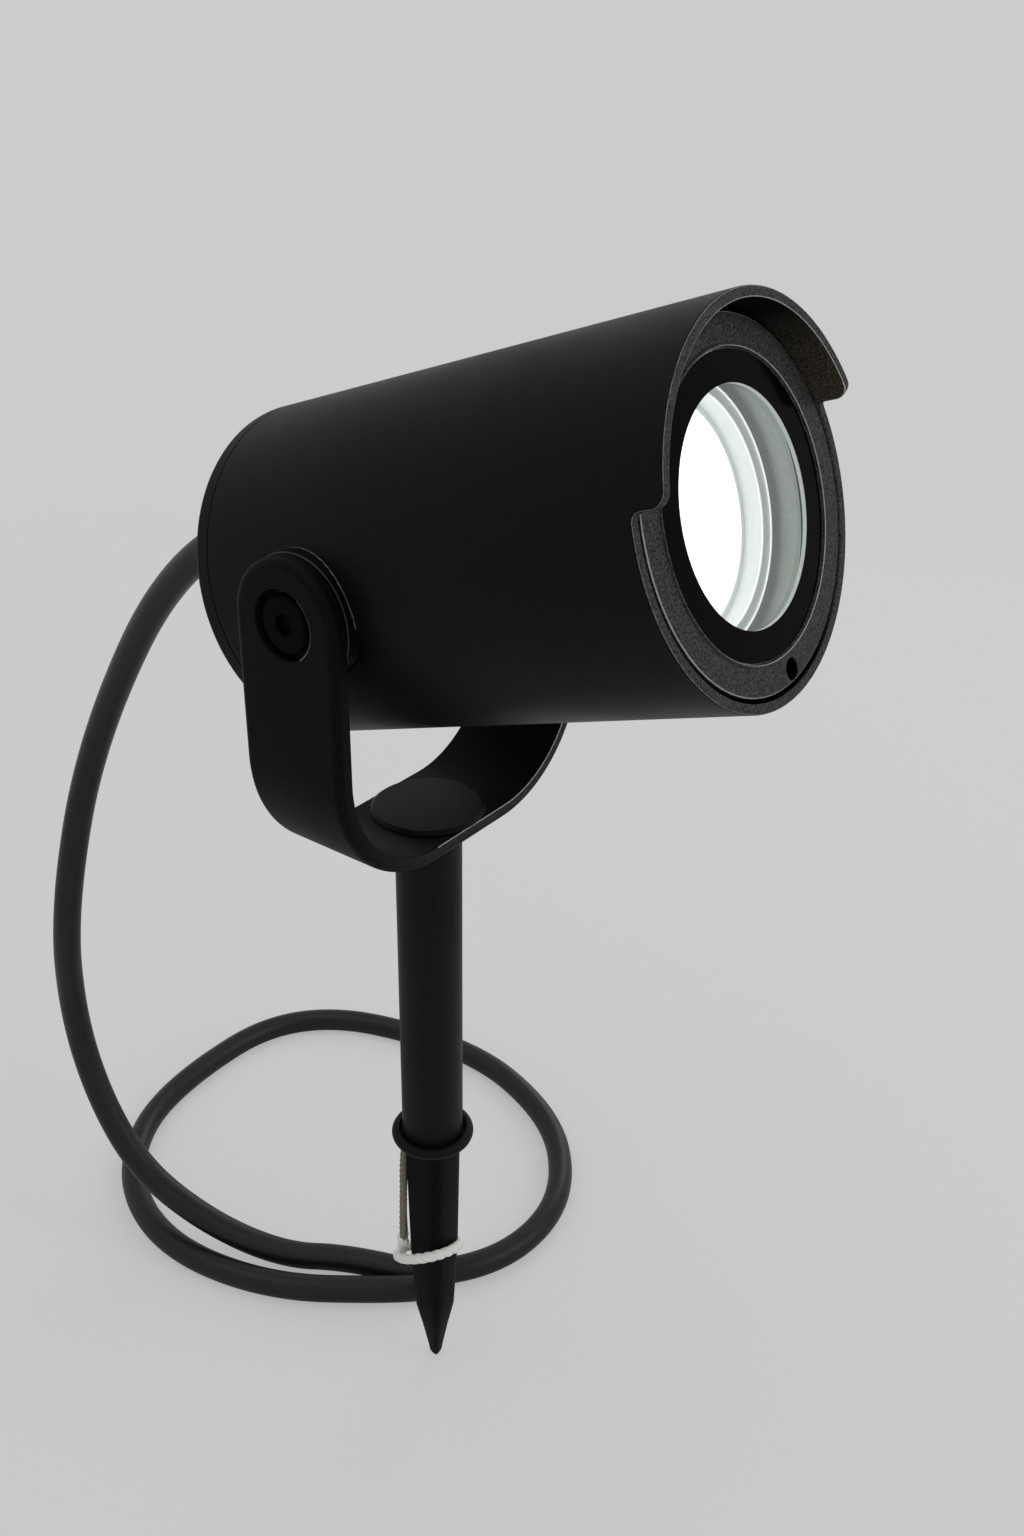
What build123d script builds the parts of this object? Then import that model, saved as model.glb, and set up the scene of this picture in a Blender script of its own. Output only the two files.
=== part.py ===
from build123d import *

import os
from math import cos, degrees, radians, sin, sqrt, tan

# Garden spike spotlight, in mm. Origin: centre of the collar's underside, which is
# the soil line. +Z is up, the lamp shines towards -Y and the pivots lie along X.

# ---- clearances ----
SEAT = 0.05          # between two pieces of one body that are screwed together
RUN = 0.06           # radial running clearance at the pivots and the swivel bolt
FACE = 0.2           # face gap between pieces that turn on each other

# ---- lamp head, along its own axis (forward is positive) ----
AXIS_Z = 153.7       # the barrel's axis above the post
TILT = 18.7          # upward tilt of the head as it stands
BARREL_R = 35.0
SLEEVE_WALL = 2.0
CAP_BACK = -29.1
CAP_RIM = 4.0
CAP_SPIGOT = 6.0
CAP_EDGE = 1.2
SLEEVE_BORE = BARREL_R - SLEEVE_WALL
RIM_FRONT = 75.5     # low front edge of the barrel
SHADE_REACH = 6.2    # the shade's front edge ahead of the low edge
SHADE_FRONT = RIM_FRONT + SHADE_REACH
SHADE_HALF_ANGLE = 73.5
SHADE_CLOCK = -4.5   # the shade's middle, degrees from the top towards +X
SHADE_CORNER = 0.42 * SHADE_REACH
RIM_STEP = 0.1       # bezel face behind the low edge

BEZEL_R = SLEEVE_BORE - 0.5
BEZEL_FACE = 5.9     # width of the flat ring
BEZEL_BORE = BEZEL_R - BEZEL_FACE
BEZEL_DEEP = 6.0
BEZEL_BACK = RIM_FRONT - RIM_STEP - BEZEL_DEEP
LEDGE = 1.5
LEDGE_R = BEZEL_BORE - 1.4
LEDGE_FRONT = BEZEL_BACK + LEDGE
LIP_WIDTH = 0.5
LIP_HEIGHT = 0.3
BEZEL_HOLE_R = 1.75
BEZEL_HOLE_AT = BEZEL_R - 2.6
BEZEL_HOLE_ANGLE = 172.9
BEZEL_SCREW_FRONT = BEZEL_BACK + 3.9

GLASS_R = BEZEL_BORE - 0.2
GLASS_SINK = 0.4     # the glass behind the bezel's face
GLASS_FRONT = BEZEL_BACK + BEZEL_DEEP - GLASS_SINK
GASKET = 0.6

BAFFLE_R = BEZEL_R - 2.0
BAFFLE_STEP = 4.0    # width of each step
BAFFLE_BORES = (BEZEL_BORE - 0.6, BEZEL_BORE - 0.6 - BAFFLE_STEP, BEZEL_BORE - 0.6 - 2 * BAFFLE_STEP)
BAFFLE_DEEP = 12.5
DISC_SEAT = 2.6      # from the baffle's back to the diffuser's face
BAFFLE_BACK = BEZEL_BACK - BAFFLE_DEEP
BAFFLE_STEPS = (BAFFLE_BACK + BAFFLE_DEEP / 2, BAFFLE_BACK + 1.65 * DISC_SEAT, BAFFLE_BACK + DISC_SEAT)
DIFFUSER_R = BAFFLE_BORES[-1] + 2.8
DIFFUSER = 1.8
BOARD_R = DIFFUSER_R + 3.2
BOARD = 1.6
SINK = 20.4
SINK_FINS = 6
FIN_GAP = 5.0
FIN_DEPTH = 12.0
DRIVER_WIDE = 38.0
DRIVER_TALL = 26.0
DRIVER_LONG = 44.0

# ---- pivots ----
PIVOT_DROP = 2.6     # they sit a little below the barrel's axis
PIVOT_Z = AXIS_Z - PIVOT_DROP
ARM = 3.6            # thickness of the yoke's bar
SPACER = 1.8         # the spacer at its thinnest
ARM_INNER = BARREL_R + SPACER + FACE     # half of the gap between the arms
ARM_HALF_WIDTH = 12.7
PIN_R = 3.0
SCREW_HEAD_R = 5.7
SCREW_HEAD = 1.7
RECESS_R = 6.9
RECESS = 2.3
SPACER_R = ARM_HALF_WIDTH + 0.2
SPACER_EDGE = 0.5
SPACER_SADDLE = 5.0  # room for the spacer's curved foot
HEX_SOCKET = 4.0
SOCKET_DEPTH = 1.2
BUSH_R = 5.5
BUSH = 8.0

# ---- yoke and swivel ----
YOKE_DROP = 59.6     # from the pivots down to the bar's underside
YOKE_UNDER = PIVOT_Z - YOKE_DROP
YOKE_BEND = 29.0     # outer bend radius
YOKE_EDGE = 1.7      # rounding of the bar's outer edges
SHANK_R = 4.0
SHANK_LONG = 20.0
YOKE_SINK_R = 7.5
YOKE_SINK = 2.0
WASHER = 0.8
WASHER_R = 7.2
BOLT_HEAD_R = 6.5
BOLT_HEAD = 1.5
COVER_R = ARM_HALF_WIDTH + 0.3
COVER = 1.6
COVER_ROOF = 0.8
COVER_POCKET_R = 8.2
COVER_EDGE = 0.5

# ---- post, collar and spike ----
POST_R = 7.6
POST_WALL = 1.4
PLUG = 18.0
RIM_R = 1.75         # radius of the collar's rounded rim
RIM_AT = 8.55        # radius at which the rim's middle runs
COLLAR_BORE = 8.0    # leaves the dark groove round the post
COLLAR_FLOOR = 1.0
STUD = 15.0
STUD_R = 3.95
CORNER = 0.16        # corner chamfer as a share of the bar's half width
# height and half width across the corners
SPIKE_TOP = (-SEAT, 6.75)
SPIKE_SHANK = (-38.6, 6.08)
SPIKE_SHOULDER = (-61.3, 4.97)
SPIKE_POINT = (-69.1, 3.35)
SPIKE_NOSE = (-77.1, 1.85)
SPIKE_ROUND = (-79.8, 1.25)
SPIKE_TIP = (-80.8, 0.5)

# ---- string tie ----
STRING_R = 1.4
TIE_Z = -38.2
TIE_R = 8.7
KNOT_R = 2.3
KNOT_SIDE = 125.0    # where the knot sits, degrees from +X
STRAND_R = 0.8
STRAND_SPREAD = 7.5  # degrees that each strand stands off the knot's middle
STRAND_BOW = 1.0

# ---- lead ----
LEAD_R = 3.8
GLAND_UP = 12.0      # the gland sits above the middle of the cap
GLAND_R = 6.0
GLAND_FLATS = 16.0
GLAND_HEX = 5.0
LOCKNUT_FLATS = 14.0
LOCKNUT = 3.0
GLAND_NUT_R = 8.4
GLAND_NUT = 11.0
GLAND_NUT_EDGE = 2.2
GLAND_BORE = 4.4
SEAL_R = 5.6
SEAL_BORE = 3.85
RELIEF = 6.0         # tapered end of the seal that guides the lead
RELIEF_R = 4.5
LEAD_STARTS = -25.0  # inside the housing, along the gland's axis
LEAD_LEAVES = -73.0  # where it first bends
CORE_R = 1.0
CORE_LONG = 4.5
ARC_SHARE = 0.45     # share of the shorter run that each bend takes

SINE = sin(radians(TILT))
COSINE = cos(radians(TILT))
HEAD = Plane(origin=(0, 0, AXIS_Z), x_dir=(1, 0, 0), z_dir=(0, -COSINE, SINE))


def rod(radius, low, high):
    """Plain round bar between two heights on the local Z axis."""
    return Pos(0, 0, low) * Cylinder(radius, high - low, align=(Align.CENTER, Align.CENTER, Align.MIN))


def tube(outer, inner, low, high):
    """Ring between two heights on the local Z axis."""
    return rod(outer, low, high) - rod(inner, low - 1, high + 1)


def pin(radius, start, end):
    """Round bar between two places on the local X axis."""
    return Pos((start + end) / 2, 0, 0) * Rot(0, 90, 0) * Cylinder(radius, abs(end - start))


def nut(flats, bore, low, high):
    """Hexagon with a bore between two heights on the local Z axis."""
    block = Pos(0, 0, low) * extrude(RegularPolygon(flats / 2, 6, major_radius=False), high - low)
    return block - rod(bore, low - 1, high + 1)


def rounded_rim(solid, height, radius):
    """Round the circular edges that lie at one height."""
    return fillet([e for e in solid.edges() if abs(e.center().Z - height) < 0.01], radius)


def both_sides(piece):
    """The piece on the +X side with its twin on the other side."""
    return Compound(children=[piece, mirror(piece, Plane.YZ)])


pieces = {}

# ---- barrel with its cut-out shade ----
sleeve_back = CAP_BACK + CAP_RIM + SEAT
sleeve = tube(BARREL_R, SLEEVE_BORE, sleeve_back, SHADE_FRONT)
sleeve_wide = 2 * BARREL_R
edge_x = sleeve_wide * sin(radians(SHADE_HALF_ANGLE))
edge_y = sleeve_wide * cos(radians(SHADE_HALF_ANGLE))
shade_sector = make_face(Polyline((0, 0), (edge_x, edge_y), (0, 1.5 * sleeve_wide), (-edge_x, edge_y), (0, 0)))
shade_block = Rot(0, 0, -SHADE_CLOCK) * Pos(0, 0, RIM_FRONT - 1) * extrude(shade_sector, SHADE_FRONT)
sleeve -= rod(BARREL_R + 1, RIM_FRONT, SHADE_FRONT + 1) - shade_block
for height in (SHADE_FRONT, RIM_FRONT):
    steps = [
        e for e in sleeve.edges()
        if e.geom_type == GeomType.LINE and abs(e.center().Z - height) < 0.01
    ]
    sleeve = fillet(steps, SHADE_CORNER)
AXLE = Pos(0, 0, PIVOT_Z)
pieces["housing_sleeve"] = HEAD * sleeve - AXLE * pin(PIN_R + 2 * SEAT, -BARREL_R - 1, BARREL_R + 1)

# ---- rear cap and its seal ----
spigot_front = CAP_BACK + CAP_RIM + CAP_SPIGOT
spigot_r = SLEEVE_BORE - SEAT
groove_low = CAP_BACK + CAP_RIM + CAP_SPIGOT / 2 - 1
groove_high = groove_low + 2
seal_r = 1.0 - SEAT
cap = rod(BARREL_R, CAP_BACK, CAP_BACK + CAP_RIM) + rod(spigot_r, CAP_BACK + CAP_RIM, spigot_front)
cap = rounded_rim(cap, CAP_BACK, CAP_EDGE)
cap -= tube(spigot_r + 1, spigot_r - 2 * seal_r, groove_low, groove_high)
cap -= Pos(0, GLAND_UP, 0) * rod(GLAND_R + SEAT, CAP_BACK - 1, spigot_front + 1)
pieces["rear_cap"] = HEAD * cap
seal = Pos(0, 0, (groove_low + groove_high) / 2) * Torus(spigot_r - seal_r, seal_r - SEAT)
pieces["rear_seal"] = HEAD * seal

# ---- bezel, its screw and the glass ----
bezel_front = RIM_FRONT - RIM_STEP
bezel = tube(BEZEL_R, BEZEL_BORE, LEDGE_FRONT, bezel_front)
bezel += tube(BEZEL_R, LEDGE_R, BEZEL_BACK, LEDGE_FRONT)
bezel += tube(BEZEL_BORE + LIP_WIDTH, BEZEL_BORE, bezel_front - 1, bezel_front + LIP_HEIGHT)
hole_angle = radians(BEZEL_HOLE_ANGLE)
hole = Pos(BEZEL_HOLE_AT * sin(hole_angle), BEZEL_HOLE_AT * cos(hole_angle), 0)
bezel -= hole * rod(BEZEL_HOLE_R, BEZEL_BACK - 1, bezel_front + 1)
pieces["front_bezel"] = HEAD * bezel
bezel_screw = rod(BEZEL_HOLE_R - SEAT, BEZEL_BACK - 2, BEZEL_SCREW_FRONT)
bezel_screw -= nut(1.5, 0.01, BEZEL_SCREW_FRONT - SOCKET_DEPTH, BEZEL_SCREW_FRONT + 1)
pieces["bezel_screw"] = HEAD * hole * bezel_screw
glass_back = LEDGE_FRONT + GASKET + SEAT
pieces["lens_glass"] = HEAD * rod(GLASS_R, glass_back, GLASS_FRONT)
pieces["lens_gasket"] = HEAD * tube(GLASS_R, LEDGE_R + SEAT, LEDGE_FRONT + SEAT / 2, glass_back - SEAT / 2)

# ---- light source behind the glass ----
baffle_front = BEZEL_BACK - SEAT
baffle = rod(BAFFLE_R, BAFFLE_BACK, baffle_front)
front = baffle_front + 1
for bore, back in zip(BAFFLE_BORES, BAFFLE_STEPS):
    baffle -= rod(bore, back, front)
    front = back + 1
diffuser_seat = BAFFLE_STEPS[-1]
baffle -= rod(DIFFUSER_R + SEAT, BAFFLE_BACK - 1, diffuser_seat)
baffle -= hole * rod(BEZEL_HOLE_R, BEZEL_BACK - 3, BEZEL_BACK)
pieces["light_baffle"] = HEAD * baffle
pieces["diffuser_disc"] = HEAD * rod(DIFFUSER_R, diffuser_seat - SEAT - DIFFUSER, diffuser_seat - SEAT)
board_front = BAFFLE_BACK - SEAT
pieces["led_board"] = HEAD * rod(BOARD_R, board_front - BOARD, board_front)
sink_front = board_front - BOARD - SEAT
sink_back = sink_front - SINK
sink = rod(spigot_r, sink_back, sink_front)
fin_pitch = 2 * spigot_r / (SINK_FINS + 1)
for i in range(SINK_FINS):
    across = (i - (SINK_FINS - 1) / 2) * fin_pitch
    sink -= Pos(across, 0, sink_back + FIN_DEPTH / 2) * Box(FIN_GAP, sleeve_wide, FIN_DEPTH)
pieces["heat_sink"] = HEAD * sink
driver_front = sink_back - SEAT
driver = Pos(0, 0, driver_front - DRIVER_LONG / 2) * Box(DRIVER_WIDE, DRIVER_TALL, DRIVER_LONG)
pieces["driver_case"] = HEAD * fillet(driver.edges().filter_by(Axis.Z), 2)

# ---- pivots: bush, screw and spacer on each side ----
arm_outer = ARM_INNER + ARM
head_under = arm_outer - RECESS + FACE
bush = AXLE * pin(BUSH_R, SLEEVE_BORE - BUSH, BARREL_R) & HEAD * rod(spigot_r, -BUSH_R - 3, BUSH_R + 3)
bush -= AXLE * pin(PIN_R + SEAT, 0, BARREL_R)
pieces["pivot_nuts"] = both_sides(bush)
screw = pin(PIN_R, SLEEVE_BORE - BUSH + 1, head_under)
screw_head = pin(SCREW_HEAD_R, head_under, head_under + SCREW_HEAD)
top = [e for e in screw_head.edges() if abs(e.center().X - head_under - SCREW_HEAD) < 0.01]
screw += fillet(top, 0.5)
socket = Rot(0, 90, 0) * extrude(RegularPolygon(HEX_SOCKET / 2, 6, major_radius=False), SOCKET_DEPTH)
screw -= Pos(head_under + SCREW_HEAD - SOCKET_DEPTH + 0.01, 0, 0) * socket
pieces["pivot_screws"] = AXLE * both_sides(screw)
spacer_face = ARM_INNER - FACE
spacer = pin(SPACER_R, BARREL_R - SPACER_SADDLE, spacer_face)
spacer = fillet([e for e in spacer.edges() if abs(e.center().X - spacer_face) < 0.01], SPACER_EDGE)
spacer -= pin(PIN_R + SEAT, 0, spacer_face + 1)
spacer = AXLE * spacer - HEAD * rod(BARREL_R + SEAT, -SPACER_R - 3, SPACER_R + 3)
pieces["pivot_spacers"] = both_sides(spacer)

# ---- cable gland on the rear cap ----
GLAND = HEAD * Pos(0, GLAND_UP, 0)
hex_front = CAP_BACK - SEAT
hex_back = hex_front - GLAND_HEX
gland = nut(GLAND_FLATS, GLAND_BORE, hex_back, hex_front)
gland += tube(GLAND_R, GLAND_BORE, hex_front - 1, spigot_front + LOCKNUT + 1)
pieces["cable_gland"] = GLAND * gland
pieces["gland_locknut"] = GLAND * nut(LOCKNUT_FLATS, GLAND_R + SEAT, spigot_front + SEAT, spigot_front + LOCKNUT)
nut_front = hex_back - SEAT
nut_back = nut_front - GLAND_NUT
dome = rounded_rim(rod(GLAND_NUT_R, nut_back, nut_front), nut_back, GLAND_NUT_EDGE)
dome -= rod(SEAL_R + SEAT, nut_back - 1, nut_front + 1)
pieces["gland_nut"] = GLAND * dome
seal_plug = rod(SEAL_R, nut_back, nut_front - SEAT) + Pos(0, 0, nut_back - RELIEF / 2) * Cone(RELIEF_R, SEAL_R, RELIEF)
pieces["gland_seal"] = GLAND * (seal_plug - rod(SEAL_BORE, nut_back - RELIEF - 1, nut_front + 1))

# ---- yoke: one bent flat bar ----
rise = PIVOT_Z + ARM_HALF_WIDTH - YOKE_UNDER
outline = Pos(0, YOKE_UNDER + rise / 2) * Rectangle(2 * arm_outer, rise)
outline = fillet(outline.vertices().group_by(Axis.Y)[0], YOKE_BEND)
gap = Pos(0, YOKE_UNDER + ARM + rise / 2) * Rectangle(2 * ARM_INNER, rise)
gap = fillet(gap.vertices().group_by(Axis.Y)[0], YOKE_BEND - ARM)
yoke = extrude(Plane.XZ * (outline - gap), ARM_HALF_WIDTH, both=True)
arm_ends = Box(4 * ARM_INNER, 4 * ARM_HALF_WIDTH, 2 * ARM_HALF_WIDTH, align=(Align.CENTER, Align.CENTER, Align.MIN))
arm_ends -= pin(ARM_HALF_WIDTH, -3 * ARM_INNER, 3 * ARM_INNER)
yoke -= AXLE * arm_ends


def on_outside(edge):
    """True for an edge that borders the bar's outer face."""
    middle = edge.position_at(0.5)
    if middle.Z > YOKE_UNDER + YOKE_BEND - 0.1:
        return abs(abs(middle.X) - arm_outer) < 0.01
    if abs(middle.X) < arm_outer - YOKE_BEND + 0.1:
        return abs(middle.Z - YOKE_UNDER) < 0.01
    from_bend = Vector(abs(middle.X) - arm_outer + YOKE_BEND, 0, middle.Z - YOKE_UNDER - YOKE_BEND)
    return abs(from_bend.length - YOKE_BEND) < 0.01


yoke = fillet([e for e in yoke.edges() if on_outside(e)], YOKE_EDGE)
yoke -= AXLE * pin(PIN_R + RUN, -arm_outer - 1, arm_outer + 1)
for side in (-1, 1):
    yoke -= AXLE * pin(RECESS_R, side * (arm_outer - RECESS), side * (arm_outer + 1))
yoke_floor = YOKE_UNDER + ARM
yoke -= rod(SHANK_R + RUN, YOKE_UNDER - 1, yoke_floor + 1)
yoke -= rod(YOKE_SINK_R, yoke_floor - YOKE_SINK, yoke_floor + 1)
pieces["yoke"] = yoke

# ---- swivel: cover, bolt and washers ----
cover_low = yoke_floor + SEAT
cover_top = cover_low + COVER
cover = rounded_rim(rod(COVER_R, cover_low, cover_top), cover_top, COVER_EDGE)
cover -= rod(COVER_POCKET_R, cover_low - 1, cover_top - COVER_ROOF)
pieces["swivel_cover"] = cover
washer_low = yoke_floor - YOKE_SINK + FACE
bolt_under = washer_low + WASHER + SEAT
pieces["bolt_washer"] = tube(WASHER_R, SHANK_R + SEAT, washer_low, washer_low + WASHER)
bolt = rod(SHANK_R, bolt_under - SHANK_LONG, bolt_under) + rod(BOLT_HEAD_R, bolt_under, bolt_under + BOLT_HEAD)
pieces["swivel_bolt"] = bolt
friction_top = YOKE_UNDER - FACE
pieces["friction_washer"] = tube(POST_R - 0.2, SHANK_R + SEAT, friction_top - WASHER, friction_top)

# ---- post with a threaded plug in each end ----
post_top = friction_top - WASHER - SEAT
post_low = COLLAR_FLOOR + SEAT
plug_r = POST_R - POST_WALL - SEAT
pieces["post_tube"] = tube(POST_R, POST_R - POST_WALL, post_low, post_top)
pieces["post_plug_upper"] = tube(plug_r, SHANK_R + SEAT, post_top - PLUG, post_top)
pieces["post_plug_lower"] = tube(plug_r, STUD_R + SEAT, post_low, post_low + PLUG)

# ---- collar: shallow dish with a rounded rim ----
dish = Pos(RIM_AT, RIM_R) * Circle(RIM_R)
dish -= Pos(COLLAR_BORE / 2, COLLAR_FLOOR + RIM_R) * Rectangle(COLLAR_BORE, 2 * RIM_R)
floor_wide = RIM_AT - STUD_R - SEAT
dish += Pos(STUD_R + SEAT + floor_wide / 2, COLLAR_FLOOR / 2) * Rectangle(floor_wide, COLLAR_FLOOR)
pieces["collar"] = revolve(Plane.XZ * dish, Axis.Z)


def bar_section(place):
    """Square with cut corners at one height of the spike."""
    height, half_diagonal = place
    s = half_diagonal * sqrt(2) / (2 - CORNER)
    c = s * (1 - CORNER)
    corners = [(s, -c), (s, c), (c, s), (-c, s), (-s, c), (-s, -c), (-c, -s), (c, -s)]
    return Pos(0, 0, height) * make_face(Polyline(*corners, corners[0]))


# ---- spike: square bar drawn out to a point ----
places = (SPIKE_TOP, SPIKE_SHANK, SPIKE_SHOULDER, SPIKE_POINT, SPIKE_NOSE, SPIKE_ROUND, SPIKE_TIP)
spike = loft([bar_section(p) for p in places], ruled=True)
spike += rod(STUD_R, -2, STUD)
pieces["spike"] = spike


def swept(path, radius):
    """Round tube along a path."""
    start = Plane(origin=path @ 0, z_dir=path % 0)
    return sweep(start * Circle(radius), path=path)


# ---- string tie round the spike ----
knot_gap = degrees((KNOT_R + STRING_R / 2) / TIE_R)
tie = CenterArc((0, 0, TIE_Z), TIE_R, KNOT_SIDE + knot_gap, 360 - 2 * knot_gap)
pieces["string_loop"] = swept(tie, STRING_R)
knot_x = TIE_R * cos(radians(KNOT_SIDE))
knot_y = TIE_R * sin(radians(KNOT_SIDE))
pieces["string_knot"] = Pos(knot_x, knot_y, TIE_Z) * Sphere(KNOT_R)
strands = []
for side in (-1, 1):
    a = radians(KNOT_SIDE + side * STRAND_SPREAD)
    low = Vector(TIE_R * cos(a), TIE_R * sin(a), TIE_Z + KNOT_R)
    high = Vector(low.X, low.Y, -SEAT)
    middle = (low + high) / 2 + Vector(cos(a), sin(a), 0) * STRAND_BOW
    strands.append(swept(ThreePointArc(low, middle, high), STRAND_R))
pieces["string_strands"] = Compound(children=strands)

# ---- lead ----
gland_axis = [HEAD.from_local_coords(Vector(0, GLAND_UP, along)) for along in (LEAD_STARTS, LEAD_LEAVES)]
ground = SPIKE_TIP[0] + LEAD_R
upper_bends = gland_axis + [Vector(-4, 103.3, 102.0), Vector(-8, 122.3, 59.5)]
drop_bends = [Vector(-11, 135.2, 6.0), Vector(-13, 124.0, -47.5), Vector(-11.5, 99.5, -68.5), Vector(-11, 74, -70.3)]
loop_bends = [
    Vector(-5.5, 57, ground + 0.4),
    Vector(15, 32.5, ground),
    Vector(25, 9, ground),
    Vector(47, -1, ground),
    Vector(82, 4, ground),
    Vector(104.5, 44, ground),
    Vector(105, 86, ground),
    Vector(83.5, 131, ground),
    Vector(40, 143, ground),
    Vector(-3.5, 130, ground),
    Vector(-22, 99.5, ground),
    Vector(-20.5, 66.5, ground),
    Vector(-8, 36.5, ground),
    Vector(12.2, 16.9, ground),
]


def lead(points, before=None, after=None):
    """Tube along straight runs joined by tangent arcs."""
    runs = [(b - a).length for a, b in zip(points, points[1:])]
    if before:
        runs[0] = before
    if after:
        runs[-1] = after
    radii = []
    for i in range(1, len(points) - 1):
        turn = (points[i] - points[i - 1]).get_angle(points[i + 1] - points[i])
        radii.append(ARC_SHARE * min(runs[i - 1], runs[i]) / tan(radians(turn) / 2))
    path = FilletPolyline(*points, radius=radii)
    return swept(path, LEAD_R)


run_a = (drop_bends[0] - upper_bends[-1]).length
run_b = (loop_bends[0] - drop_bends[-1]).length
split_a = (upper_bends[-1] + drop_bends[0]) / 2
split_b = (drop_bends[-1] + loop_bends[0]) / 2
pieces["lead_upper"] = lead(upper_bends + [split_a], after=run_a)
pieces["lead_drop"] = lead([split_a] + drop_bends + [split_b], before=run_a, after=run_b)
pieces["lead_loop"] = lead([split_b] + loop_bends, before=run_b)
end = loop_bends[-1]
ahead = (end - loop_bends[-2]).normalized()
aside = Vector(-ahead.Y, ahead.X, 0)
cores = []
for turn in (90, 210, 330):
    root = end + aside * (1.6 * cos(radians(turn))) + Vector(0, 0, 1.6 * sin(radians(turn)))
    cores.append(Plane(origin=root, z_dir=ahead) * rod(CORE_R, SEAT, CORE_LONG))
pieces["lead_cores"] = Compound(children=cores)

os.makedirs("parts", exist_ok=True)
for name, solid in pieces.items():
    solid.label = name
    export_step(solid, f"parts/{name}.step")
    print(name, round(solid.volume, 1), "valid", solid.is_valid)
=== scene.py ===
import logging
import math
from collections.abc import Callable, Sequence
from dataclasses import dataclass, field
from enum import Enum

import bmesh
import bpy
from mathutils import Matrix, Vector


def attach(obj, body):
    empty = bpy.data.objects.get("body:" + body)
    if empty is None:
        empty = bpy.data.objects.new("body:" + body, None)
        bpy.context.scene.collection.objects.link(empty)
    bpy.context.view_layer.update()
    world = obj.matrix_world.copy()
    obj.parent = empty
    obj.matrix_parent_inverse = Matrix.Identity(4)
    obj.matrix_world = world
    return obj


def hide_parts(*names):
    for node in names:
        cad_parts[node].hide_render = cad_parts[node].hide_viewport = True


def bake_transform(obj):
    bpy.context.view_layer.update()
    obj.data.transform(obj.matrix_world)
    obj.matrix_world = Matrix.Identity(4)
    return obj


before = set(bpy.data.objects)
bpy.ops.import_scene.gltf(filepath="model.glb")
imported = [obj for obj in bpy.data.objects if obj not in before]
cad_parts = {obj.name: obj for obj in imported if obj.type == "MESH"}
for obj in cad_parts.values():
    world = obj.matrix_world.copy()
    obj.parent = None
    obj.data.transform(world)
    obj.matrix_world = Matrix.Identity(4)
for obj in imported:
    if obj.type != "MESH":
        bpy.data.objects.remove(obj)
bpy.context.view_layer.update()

LOG = logging.getLogger("spotlight")

# Sizes are in millimetres unless their name or docstring says otherwise. SEAT is the gap between
# pieces that touch, PAST how far a cutter reaches past the face that it opens, and GUARD the place
# of the point that holds a rounding's side flat, as a multiple of the rounding's reach.
MM = 0.001
TILT = math.radians(18.7)
AXIS_Z = 153.7
PIVOT_Z = 151.1
BARREL_R = 35.0
SEAT = 0.05
PAST = 1.0
GLAND_UP = 12.0
GUARD = 1.3
ON_AXIS = 1e-6
MERGE = 2e-6
SLIVER = 1e-7
SHARP = 32.0
SPECKLE_SPAN = (0.35, 0.75)
DRIFT_SIZE = 0.03
DRIFT_SWING = 0.04
TWIST_STEP = 0.35 * MM
TWIST_SIDES = 9

# From millimetres on a piece's own axes to the shared frame: upright pieces, and the tilted head's.
UPRIGHT = Matrix.Scale(MM, 4)
HEAD = UPRIGHT @ Matrix(
    (
        (1, 0, 0, 0),
        (0, math.sin(TILT), -math.cos(TILT), 0),
        (0, math.cos(TILT), math.sin(TILT), AXIS_Z),
        (0, 0, 0, 1),
    )
)

Outline = list[tuple[float, float]]
Rgb = tuple[float, float, float]
Place = tuple[float, float, float]


# ---------------------------------------------------------------- finishes


def linear(colour: Rgb) -> tuple[float, float, float, float]:
    """Colour in 0-255 as seen on a screen, as the linear colour that a shader takes."""
    parts = [c / 255 for c in colour]
    return (*[p / 12.92 if p <= 0.04045 else ((p + 0.055) / 1.055) ** 2.4 for p in parts], 1.0)


class Relief(Enum):
    """The small relief of a finish: the noise's detail and how rough its steps are."""

    EVEN = (2.0, 0.5)
    SANDY = (3.0, 0.75)
    FIBROUS = (6.0, 0.7)


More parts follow.
